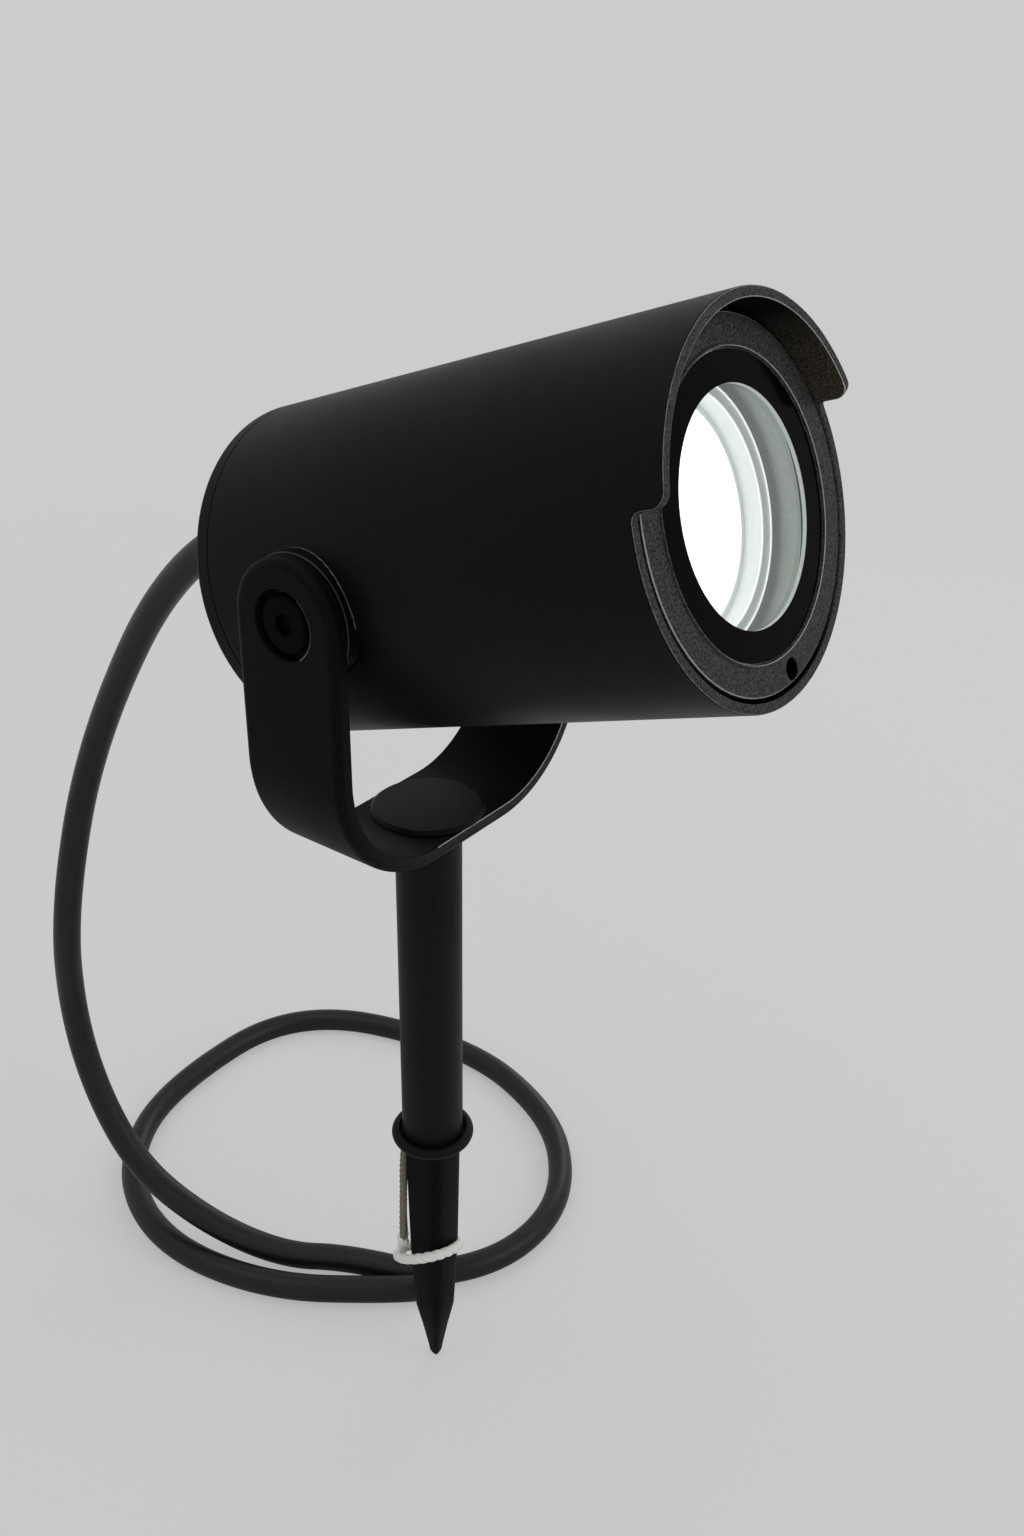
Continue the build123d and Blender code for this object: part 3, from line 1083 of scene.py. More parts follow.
@dataclass
class Barrel:
    """The housing sleeve with its cut-out shade, and the cap at its back."""

    radius: float = BARREL_R
    wall: float = 2.0
    back: float = -25.05
    low_front: float = 75.5
    shade_front: float = 81.7
    shade_half_angle: float = 73.5
    shade_clock: float = -4.5
    corner: float = 2.6
    root: float = 1.6
    edge: float = 0.35
    edge_line: float = 0.12
    fade_line: float = 0.5
    tail_edge: float = 0.1
    tail_line: float = 0.3
    column_wide: float = 1.5
    foot: float = 62.0
    levels: tuple[float, ...] = (0.0, 0.3, 0.55, 0.8)
    inner_skin: float = 0.06
    inner_highlight: float = 0.2
    outer_highlight: tuple[float, float] = (0.25, 0.08)
    cap_back: float = -29.1
    cap_edge: float = 1.2
    cap_rim: float = 4.0
    rim_edge: float = 0.3
    spigot: float = 6.0
    spigot_edge: float = 0.4
    gland_bore: float = 6.05

    def front_line(self) -> list[tuple[Vector, Vector, float]]:
        """Front edge, unrolled.

        Returns:
            For each column its place (round the sleeve, along it), the direction out of the edge,
            and its share of the way round.
        """
        side, seam = self.radius * math.radians(self.shade_half_angle), self.radius * math.pi
        low, high, tip, root = self.low_front, self.shade_front, self.corner, self.root
        corners = [(-seam, low, 0), (-side, low, root), (-side, high, tip)]
        corners += [(side, high, tip), (side, low, root), (seam, low, 0)]
        line = rounded(corners, steps=7)
        points: list[Vector] = []
        for a, b in zip(line, line[1:]):
            a, b = Vector(a), Vector(b)
            count = max(1, math.ceil((b - a).length / self.column_wide))
            points += [a.lerp(b, k / count) for k in range(count)]
        total = sum((b - a).length for a, b in zip(points, points[1:] + [Vector(line[-1])]))
        columns, gone = [], 0.0
        for i, here in enumerate(points):
            after = points[i + 1] if i + 1 < len(points) else Vector(line[-1])
            before = points[i - 1] if i else here - (after - here)
            way = ((after - here).normalized() + (here - before).normalized()).normalized()
            columns.append((here, Vector((-way.y, way.x)), gone / total))
            gone += (after - here).length
        return columns

    def sleeve(self) -> bpy.types.Object:
        """Build the sleeve.

        Returns:
            The sleeve, with its rim and the inside of its shade in a sandier coat that paints
            light: the rim face is a lit copy of the sleeve's coat, the inside gets lighter speckle
                towards +X, and the
            rim's edges get painted highlight lines.
        """
        outer, inner, e, near = self.radius, self.radius - self.wall, self.edge, self.edge_line
        quarter = [math.radians(90 * k / 4) for k in range(5)]
        rim = [(outer, e + self.fade_line), (outer, e + near)]
        rim += [(outer - e * (1 - math.cos(a)), e * (1 - math.sin(a))) for a in quarter]
        rim += [(outer - e - near, 0.0), (inner + e + near, 0.0)]
        rim += [(inner + e * (1 - math.sin(a)), e * (1 - math.cos(a))) for a in quarter]
        rim += [(inner, e + near), (inner, e + self.fade_line)]
        tail = [(inner + self.tail_edge, self.back)]
        tail += [
            (outer - e * (1 - math.sin(a)), self.back + e * (1 - math.cos(a))) for a in quarter
        ]
        tail += [(outer, self.back + e + self.tail_line)]
        columns = self.front_line()
        points: list[tuple[float, float, float]] = []
        rows = 0
        for here, out, share in columns:
            even = (share - 0.5) * math.tau * self.radius
            column = [(even, r, h) for r, h in tail]
            edge = here - out * rim[0][1]
            across, along = edge.x - even, edge.y - self.foot
            climb = [(even + across * f, self.foot + along * f) for f in self.levels]
            column += [(s, outer, height) for s, height in climb]
            for radius, inset in rim:
                at = here - out * inset
                column.append((at.x, radius, at.y))
            column += [(s, inner, height) for s, height in reversed(climb)]
            column.append((even, inner, self.back + self.tail_edge))
            rows = len(column)
            for s, radius, height in column:
                a = s / self.radius + math.radians(self.shade_clock)
                points.append((radius * math.sin(a), radius * math.cos(a), height))
        faces = []
        for i in range(len(columns)):
            j = (i + 1) % len(columns)
            for k in range(rows):
                n = (k + 1) % rows
                faces.append((i * rows + k, j * rows + k, j * rows + n, i * rows + n))
        piece = solid("housing_sleeve_shell", points, faces, HEAD)
        put(piece, "head", "head_paint", BARREL_PAINT, "housing_sleeve")
        skin, glint = inner + self.inner_skin, inner + self.inner_highlight
        line, side = (outer - inset for inset in self.outer_highlight)
        # Painted light: a reflection fading in towards +X inside the shade, a lit coat on the rim
        # face and highlight lines on its edges.
        repaint(piece, SHADE_INSIDE_PAINTED_LIGHT, HEAD, lambda r, p: r < skin and p.z > self.foot)
        repaint(piece, BEZEL_COAT_AND_RIM_PAINTED_LIGHT, HEAD, lambda r, p: skin <= r < line and p.z > self.foot)
        repaint(piece, RIM_PAINTED_HIGHLIGHT, HEAD, lambda r, p: line <= r < side and p.z > self.foot)
        high = self.low_front + 1
        repaint(piece, EDGE_PAINTED_HIGHLIGHT, HEAD, lambda r, p: skin <= r < glint and p.z > high)
        return piece

    def cap(self) -> bpy.types.Object:
        """Build the rear cap with its spigot and the gland's bore.

        Returns:
            The cap.
        """
        back, front = self.cap_back, self.cap_back + self.cap_rim
        end, spigot_r = front + self.spigot, self.radius - self.wall - SEAT
        profile = rounded(
            [
                (0, back, 0),
                (self.radius, back, self.cap_edge),
                (self.radius, front, self.rim_edge),
                (spigot_r, front, 0),
                (spigot_r, end, self.spigot_edge),
                (0, end, 0),
            ]
        )
        piece = turned("rear_cap_shell", profile, HEAD, closed=False, segments=144)
        gland = HEAD @ Matrix.Translation((0, GLAND_UP, 0))
        bore = turned("bore", plug(self.gland_bore, back - PAST, end + 2), gland, closed=False)
        return put(bored(piece, bore), "head", "head_paint", BARREL_PAINT, "rear_cap")

    def build(self) -> None:
        """Build and dress the sleeve and the cap."""
        self.sleeve()
        self.cap()
        dress_nodes(SEAL_RUBBER, "rear_seal")


@dataclass
class Window:
    """The bezel, the glass with its printed border, and the lit baffle behind them."""

    radius: float = 32.2
    bore: float = 26.6
    back: float = 69.4
    face: float = 75.4
    lip_wide: float = 0.5
    lip_high: float = 0.3
    lip_edge: float = 0.14
    lip_root: float = 0.08
    face_edge: float = 0.35
    back_edge: float = 0.2
    ledge_r: float = 25.2
    ledge: float = 70.9
    hole_r: float = 1.95
    hole_at: float = 30.0
    hole_angle: float = 172.9
    hole_deep: float = 2.2
    hole_ease: float = 0.25
    glass_r: float = 26.4
    glass_edge: float = 0.3
    glass_back: float = 71.55
    glass_front: float = 75.0
    opening: float = 20.7
    print_inset: float = 0.15
    print_low: float = 0.01
    print_high: float = 0.04
    frost_wide: float = 0.3
    frost_deep: float = 1.9
    baffle_r: float = 30.5
    baffle_bores: tuple[float, ...] = (26.0, 23.6, 22.0)
    baffle_steps: tuple[float, ...] = (64.2, 63.3, 59.5)
    baffle_back: float = 56.9
    baffle_edge: float = 0.3
    mouth_edge: float = 0.4
    bore_edge: float = 0.24
    disc_r: float = 24.0
    lit_r: float = 20.9
    disc: float = 1.8
    disc_edge: float = 0.2
    step_edge: float = 0.25

    def bezel(self) -> None:
        """Build and dress the bezel with its raised lip and its blind screw hole, with painted
        highlights on its outer edge and lip and painted shade inside the hole.
        """
        lip = self.bore + self.lip_wide
        top = self.face + self.lip_high
        profile = rounded(
            [
                (self.ledge_r, self.back, 0),
                (self.radius, self.back, self.back_edge),
                (self.radius, self.face, self.face_edge),
                (lip, self.face, self.lip_root),
                (lip, top, self.lip_edge),
                (self.bore, top, self.lip_edge),
                (self.bore, self.ledge, 0),
                (self.ledge_r, self.ledge, self.back_edge),
            ],
            closed=True,
            steps=4,
        )
        piece = turned("front_bezel_ring", profile, HEAD, segments=180)
        angle = math.radians(self.hole_angle)
        at = HEAD @ Matrix.Translation(
            (self.hole_at * math.sin(angle), self.hole_at * math.cos(angle), 0)
        )
        r, wide = self.hole_r, self.hole_r + self.hole_ease
        face, floor = self.face, self.face - self.hole_deep
        mouth = [(r, face - 0.2), (r + 0.08, face - 0.06), (wide, face + 0.04)]
        profile = [(0, floor), (r, floor), *mouth, (wide, face + PAST), (0, face + PAST)]
        tool = turned("hole", profile, at, closed=False, segments=40)
        put(bored(piece, tool), "head", "bezel_paint", BEZEL_COAT_AND_RIM_PAINTED_LIGHT, "front_bezel")
        low, high = self.radius - 0.24, self.radius - 0.02
        # Painted highlights: bright lines on the bezel's outer edge and on its lip.
        repaint(piece, EDGE_PAINTED_HIGHLIGHT, HEAD, lambda r, p: low < r < high and p.z > face - 0.36)
        repaint(piece, EDGE_PAINTED_HIGHLIGHT, HEAD, lambda r, p: r < self.bore + 0.1 and p.z > face + 0.05)
        # Painted shade: the walls and floor inside the screw hole are painted near black.
        inside = self.hole_r + 0.05
        repaint(piece, BLACK_STEEL_AND_PAINTED_SHADE, at, lambda r, p: r < inside and floor - 0.1 < p.z < face - 0.1)

    def glass(self) -> None:
        """Build the clear glass, its black border and the frosted edge of the clear opening, which
        glows as painted light.
        """
        e, r, low, high = self.glass_edge, self.glass_r, self.glass_back, self.glass_front
        profile = rounded([(0, low, 0), (r, low, e), (r, high, e), (0, high, 0)], steps=3)
        disc = turned("lens_disc", profile, HEAD, closed=False, segments=128)
        put(disc, "head", "glass", ClearGlass("clear_glass"), "lens_glass")
        inner, outer = self.opening, r - self.print_inset
        below, above = high + self.print_low, high + self.print_high
        profile = [(inner, below), (outer, below), (outer, above), (inner, above)]
        put(turned("lens_border", profile, HEAD, segments=160), "head", "glass", PRINT_BLACK)
        # The frosted edge glows as painted light.
        profile = ring(
            inner - 0.02, inner + self.frost_wide, high - self.frost_deep, high - SEAT, 0.05
        )
        put(turned("lens_border_edge", profile, HEAD, segments=160), "head", "glass", FROSTED_EDGE_PAINTED_GLOW)

    def baffle(self) -> None:
        """Build the stepped baffle and the lit disc at its bottom; the steps, the narrow bore and
        the disc's outer ring glow as painted light.
        """
        wide, middle, narrow = self.baffle_bores
        first, second, third = self.baffle_steps
        front = self.back - SEAT
        seat = self.disc_r + SEAT
        profile = rounded(
            [
                (seat, self.baffle_back, 0),
                (self.baffle_r, self.baffle_back, self.baffle_edge),
                (self.baffle_r, front, self.baffle_edge),
                (wide, front, self.baffle_edge),
                (wide, first, self.mouth_edge),
                (middle, first, self.bore_edge),
                (middle, second, 0),
                (narrow, second, self.bore_edge),
                (narrow, third, 0),
                (seat, third, 0),
            ],
            closed=True,
            steps=3,
        )
        piece = turned("light_baffle_cup", profile, HEAD, segments=160)
        put(piece, "head", "baffle_plastic", BAFFLE_WHITE, "light_baffle")
        inside, wall = narrow + 0.02, middle + 0.02
        # Painted light: the step faces and the narrow bore glow, and the step edges carry a glowing
        # painted highlight.
        repaint(
            piece,
            STEP_FACE_PAINTED_GLOW,
            HEAD,
            lambda r, p: narrow + 0.2 < r < wall and third + 0.2 < p.z < first - 0.2,
        )
        repaint(piece, LIT_BORE, HEAD, lambda r, p: r < inside and third - 0.1 < p.z < second - 0.2)
        near = self.step_edge
        for bore, step in ((middle, first), (narrow, second)):
            repaint(
                piece, STEP_EDGE_PAINTED_HIGHLIGHT, HEAD, lambda r, p: abs(r - bore) < near and abs(p.z - step) < near
            )
        high = third - SEAT
        low, edge, e = high - self.disc, self.disc_r, self.disc_edge
        corners = [
            (0, low, 0), (edge, low, e), (edge, high, e), (self.lit_r, high, 0), (0, high, 0)
        ]
        profile = rounded(corners)
        disc = turned("diffuser_lit", profile, HEAD, closed=False, segments=128)
        put(disc, "head", "diffuser_plastic", LIT_DISC, "diffuser_disc")
        # Painted light: the disc's ring outside the lit area glows a little.
        repaint(disc, LIT_BORE, HEAD, lambda r, p: r > self.lit_r and p.z > high - 0.3)

    def build(self) -> None:
        """Build and dress the whole window."""
        self.bezel()
        self.glass()
        self.baffle()
        dress_nodes(BLACK_STEEL_AND_PAINTED_SHADE, "bezel_screw")
        dress_nodes(SEAL_RUBBER, "lens_gasket")
        dress_nodes(BOARD_WHITE, "led_board")
        dress_nodes(SINK_ALLOY, "heat_sink")
        dress_nodes(DRIVER_SHELL, "driver_case")


@dataclass
class Pivots:
    """The spacers and socket screws on which the head tilts, mirrored on both sides."""

    spacer_r: float = 12.9
    spacer_foot: float = 30.0
    spacer_face: float = 36.8
    spacer_edge: float = 0.3
    skirt: float = 32.0
    skirt_step: float = 0.25
    skirt_rows: int = 17
    highlight_high: float = 0.3
    highlight_wide: float = 3.0
    highlight_from: tuple[float, float] = (-6.0, -4.0)
    pin_r: float = 3.0
    pin_start: float = 26.0
    head_under: float = 38.5
    head_r: float = 5.7
    head: float = 1.7
    head_edge: float = 0.7
    head_rim: float = 0.15
    pin_edge: float = 0.3
    socket: float = 4.0
    socket_deep: float = 1.2

    def spacer(self, side: int) -> bpy.types.Object:
        """Build one spacer, whose foot fits the barrel.

        Args:
            side: -1 for the near pivot, 1 for the far one.

        Returns:
            The spacer.
        """
        r, face, bore = self.spacer_r, self.spacer_face, self.pin_r + SEAT
        corners = [(bore, self.spacer_foot, 0), (r, self.spacer_foot, 0)]
        corners += [(r, self.skirt + self.skirt_step * k, 0) for k in range(self.skirt_rows)]
        corners += [(r, face, self.spacer_edge), (bore, face, 0)]
        profile = rounded(corners, closed=True, steps=4)
        piece = turned("spacer", profile, along_x(side), segments=128)
        barrel = turned("barrel", plug(BARREL_R + SEAT, -40, 40), HEAD, closed=False, segments=256)
        return bored(piece, barrel, sharp=28)

    def screw(self, side: int) -> bpy.types.Object:
        """Build one button-head screw with its hexagon socket.

        Args:
            side: -1 for the near pivot, 1 for the far one.

        Returns:
            The screw.
        """
        start, under, top = self.pin_start, self.head_under, self.head_under + self.head
        pin, head = self.pin_r, self.head_r
        corners = [(0, start, 0), (pin, start, self.pin_edge), (pin, under, 0)]
        corners += [(head, under, self.head_rim), (head, top, self.head_edge), (0, top, 0)]
        place = along_x(side)
        piece = turned("screw", rounded(corners, steps=6), place, closed=False, segments=64)
        socket = plug(self.socket / math.sqrt(3), top - self.socket_deep, top + PAST)
        return bored(piece, turned("socket", socket, place, closed=False, segments=6))

    def build(self) -> None:
        """Build both sides, each kind as one piece."""
        spacers = joined("pivot_spacer_pair", self.spacer(1), self.spacer(-1))
        put(spacers, "head", "spacer_plastic", SPACER_NYLON, "pivot_spacers")
        # Painted highlight: a thin bright line on the spacers' edge at the barrel, on its upper
        # front part.
        low, high = BARREL_R + 0.06, BARREL_R + self.highlight_high
        inner = self.spacer_r - self.highlight_wide
        up, ahead = self.highlight_from
        repaint(
            spacers,
            RIM_PAINTED_HIGHLIGHT,
            HEAD,
            lambda r, p: (
                low < r < high and math.hypot(p.y, p.z) > inner and p.y > up and p.z > ahead
            ),
        )
        # The screws' near-black finish also paints the shade of the recesses they sit in.
        screws = joined("pivot_screw_pair", self.screw(1), self.screw(-1))
        put(screws, "head", "steel", BLACK_STEEL_AND_PAINTED_SHADE, "pivot_screws")
        dress_nodes(ZINC_STEEL, "pivot_nuts")


@dataclass
class Gland:
    """The cable gland on the rear cap, with its ribbed nut and tapered seal."""

    flats: float = 16.0
    body_front: float = -29.15
    body: float = 5.0
    thread_r: float = 6.0
    thread_front: float = -15.1
    bore: float = 4.4
    nut_r: float = 8.4
    nut: float = 11.0
    nut_edge: float = 2.2
    seal_r: float = 5.6
    seal_bore: float = 3.85
    relief: float = 6.0
    relief_r: float = 4.5
    relief_steps: int = 3
    relief_share: float = 0.72
    relief_taper: float = 2.6
    grip: float = 0.25
    ribs: int = 24
    rib_start: float = 0.6
    rib_r: float = 0.45
    rib_long: float = 6.0
    place: Matrix = field(default_factory=lambda: HEAD @ Matrix.Translation((0, GLAND_UP, 0)))

    def hexagon(self) -> bpy.types.Object:
        """Build the hexagon body on its thread.

        Returns:
            The body.
        """
        front, bore, corner = self.body_front, self.bore, self.flats / math.sqrt(3)
        low = front - self.body
        profile = [(bore, low), (corner, low), (corner, front), (bore, front)]
        head = eased(turned("hexagon", profile, self.place, segments=6), width=0.35, steps=3)
        thread = ring(bore, self.thread_r, front - PAST, self.thread_front, 0.2)
        return joined("cable_gland_body", head, turned("shank", thread, self.place, segments=48))

    def dome(self) -> bpy.types.Object:
        """Build the dome nut and its grip ribs.

        Returns:
            The nut.
        """
        front = self.body_front - self.body - SEAT
        back, inner, outer = front - self.nut, self.seal_r + SEAT, self.nut_r - self.grip
        corners = [
            (inner, back, 0.2), (outer, back, self.nut_edge), (outer, front, 0.3), (inner, front, 0)
        ]
        profile = rounded(corners, closed=True, steps=7)
        piece = turned("gland_nut_dome", profile, self.place, segments=96)
        return grip_tree().run(
            piece,
            Ribs=self.ribs,
            Circle=(self.nut_r - self.rib_r - 0.02) * MM,
            Rib=self.rib_r * MM,
            Long=self.rib_long * MM,
            Centre=self.place @ Vector((0, 0, front - self.rib_long / 2 - self.rib_start)),
            Lean=self.place.to_3x3().normalized().to_euler(),
            Finish=GLAND_NYLON.material(),
        )

    def seal(self) -> bpy.types.Object:
        """Build the seal, whose tapered end holds the lead.

        Returns:
            The seal.
        """
        front = self.body_front - self.body - 2 * SEAT
        back = front + SEAT - self.nut
        tip = back - self.relief
        profile = [(self.seal_bore, front), (self.seal_r, front), (self.seal_r, back + 0.4)]
        for k in range(self.relief_steps):
            step = self.relief / self.relief_steps
            a, b = back - k * step, back - (k + self.relief_share) * step
            wide = self.seal_r + (self.relief_r - self.seal_r) * k / self.relief_taper
            profile += [
                (wide, a), (wide - 0.06, a - 0.1), (wide - 0.22, b + 0.12), (wide - 0.45, b)
            ]
        profile += [
            (self.relief_r - 0.1, tip + 0.3), (self.relief_r - 0.3, tip), (self.seal_bore, tip)
        ]
        return turned("gland_seal_relief", profile, self.place, segments=64)

    def build(self) -> None:
        """Build and dress the gland."""
        put(self.hexagon(), "head", "gland_plastic", GLAND_NYLON, "cable_gland")
        put(self.dome(), "head", "gland_plastic", GLAND_NYLON, "gland_nut")
        put(self.seal(), "head", "seal_rubber", SEAL_RUBBER, "gland_seal")
        dress_nodes(GLAND_NYLON, "gland_locknut")


# ---------------------------------------------------------------- bracket


@dataclass
class Yoke:
    """The bent flat bar that carries the head, and the cover on its swivel."""

    thick: float = 3.6
    half_wide: float = 12.7
    outer_x: float = 40.6
    under: float = 91.5
    bend: float = 29.0
    outer_edge: float = 1.7
    inner_edge: float = 0.22
    pin_r: float = 3.06
    recess_r: float = 6.9
    recess: float = 2.3
    shank_r: float = 4.06
    sink_r: float = 7.5
    sink: float = 2.0
    cover_r: float = 13.0
    cover: float = 0.8
    cover_roof: float = 0.32
    cover_pocket: float = 8.2
    cover_edge: float = 1.0
    cover_round: float = 0.4
    cover_foot: float = 0.08
    bore_span: tuple[float, float] = (30.0, 45.0)
    rim_highlight: float = 0.36
    lit_from: float = -33.0

    def along(self, u: float) -> tuple[Vector, Vector]:
        """Place on the bar's middle surface.

        Args:
            u: distance from the end of the near arm, along the bar.

        Returns:
            The place in the XZ plane and the direction out of the bend.
        """
        turn_z = self.under + self.bend
        upright = PIVOT_Z + self.half_wide - turn_z
        middle = self.bend - self.thick / 2
        arc = middle * math.pi / 2
        flat = self.outer_x - self.bend
        total = 2 * (upright + arc + flat)
        side = -1
        if u > total / 2:
            u, side = total - u, 1
        if u <= upright:
            return Vector(
                (side * (self.outer_x - self.thick / 2), PIVOT_Z + self.half_wide - u)
            ), Vector((side, 0))
        if u <= upright + arc:
            a = (u - upright) / middle
            out = Vector((side * math.cos(a), -math.sin(a)))
            return Vector((side * flat, turn_z)) + out * middle, out
        return Vector(
            (side * (flat - (u - upright - arc)), self.under + self.thick / 2)
        ), Vector((0, -1))

    def length(self) -> float:
        """Length of the bar before it is bent."""
        upright = PIVOT_Z + self.half_wide - self.under - self.bend
        return 2 * (upright + (self.bend - self.thick / 2) * math.pi / 2 + self.outer_x - self.bend)

    def bar(self) -> bpy.types.Object:
        """Build the bent bar with its rounded ends, bores and recesses.

        Returns:
            The bar.
        """
        total, w, t = self.length(), self.half_wide, self.thick
        stations = []
        for k in range(17):
            a = math.radians(90 * k / 16)
            stations.append((w - w * math.cos(a), w * math.sin(a), -math.cos(a), math.sin(a)))
        count = 100
        stations += [(w + (total - 2 * w) * k / count, w, 0.0, 1.0) for k in range(1, count)]
        stations += [(total - u, v, -nu, nv) for u, v, nu, nv in reversed(stations[:17])]
        o, i = self.outer_edge, self.inner_edge
        arc = [math.radians(90 * k / 6) for k in range(7)]
        section = [(i + 0.25, -t / 2)]
        section += [(i * (1 - math.sin(a)), -t / 2 + i * (1 - math.cos(a))) for a in arc[::2]]
        section += [(0, -t / 2 + i + 0.1), (0, t / 2 - o - 0.1)]
        section += [(o * (1 - math.cos(a)), t / 2 - o * (1 - math.sin(a))) for a in arc]
        section += [(o + 0.35, t / 2)]
        points, size = [], 2 * len(section)
        for u, v, nu, nv in stations:
            for sign, part in ((1, section), (-1, section[::-1])):
                for inset, out in part:
                    place, normal = self.along(u - nu * inset)
                    at = place + normal * out
                    points.append((at.x, sign * max(0.0, v - nv * inset), at.y))
        faces = []
        for k in range(len(stations) - 1):
            for n in range(size):
                m = (n + 1) % size
                faces.append((k * size + n, k * size + m, (k + 1) * size + m, (k + 1) * size + n))
        piece = solid("yoke_bar", points, faces, UPRIGHT)
        tools = []
        for side in (-1, 1):
            face, deep, r, place = self.outer_x, self.outer_x - self.recess, self.recess_r, along_x(
                side
            )
            floor = [(0, deep), (r - 0.25, deep), (r, deep + 0.25)]
            mouth = [(r, face - 0.3), (r + 0.1, face - 0.1), (r + 0.32, face + 0.02)]
            recess = [*floor, *mouth, (r + 0.32, face + PAST), (0, face + PAST)]
            tools.append(turned("recess", recess, place, closed=False, segments=72))
            bore = plug(self.pin_r, *self.bore_span)
            tools.append(turned("bore", bore, place, closed=False, segments=36))
        top = self.under + t
        for r, low in ((self.shank_r, self.under - PAST), (self.sink_r, top - self.sink)):
            tools.append(
                turned("sink", plug(r, low, top + PAST), UPRIGHT, closed=False, segments=60)
            )
        return bored(piece, *tools, sharp=28)

    def cap(self) -> bpy.types.Object:
        """Build the round cover over the swivel bolt.

        Returns:
            The cover.
        """
        low = self.under + self.thick + SEAT
        high = low + self.cover
        profile = rounded(
            [
                (self.cover_pocket, low, 0),
                (self.cover_r, low, self.cover_foot),
                (self.cover_r - self.cover_edge, high, self.cover_round),
                (0, high, 0),
                (0, high - self.cover_roof, 0),
                (self.cover_pocket, high - self.cover_roof, 0.1),
            ],
            closed=True,
            steps=6,
        )
        return turned("swivel_cover_cap", profile, UPRIGHT, segments=128)

    def build(self) -> None:
        """Build and dress the yoke and its cover."""
        bar = put(self.bar(), "bracket", "yoke_paint", YOKE_PAINT, "yoke")
        front, flat, turn = -self.half_wide, self.outer_x - self.bend, self.under + self.bend
        # Painted light: the bar's front face gets lighter speckle towards +X.
        repaint(bar, YOKE_EDGE_PAINTED_LIGHT, UPRIGHT, lambda r, p: p.y < front + 0.02 and p.x > self.lit_from)
        inside = self.bend - self.thick + 0.24

        def inner_edge(_: float, p: Vector) -> bool:
            """Whether a face lies on the front inner edge, from the near bend on, which gets a
            painted highlight line.
            """
            reach = math.hypot(max(0, abs(p.x) - flat), max(0, turn - p.z))
            return p.y < front + 0.1 and p.x > -flat and reach < inside

        def highlighted_recess_rim(_: float, p: Vector) -> bool:
            """Whether a face lies on the front half of a recess's rounded mouth, which gets a
            painted highlight.
            """
            reach = math.hypot(p.y, p.z - PIVOT_Z) - self.recess_r
            return abs(p.x) > self.outer_x - 0.35 and p.y < -4 and 0 < reach < self.rim_highlight

        repaint(bar, EDGE_PAINTED_HIGHLIGHT, UPRIGHT, inner_edge)
        repaint(bar, RIM_PAINTED_HIGHLIGHT, UPRIGHT, highlighted_recess_rim)
        put(self.cap(), "bracket", "cover_paint", COVER_PAINT, "swivel_cover")


# ---------------------------------------------------------------- stake


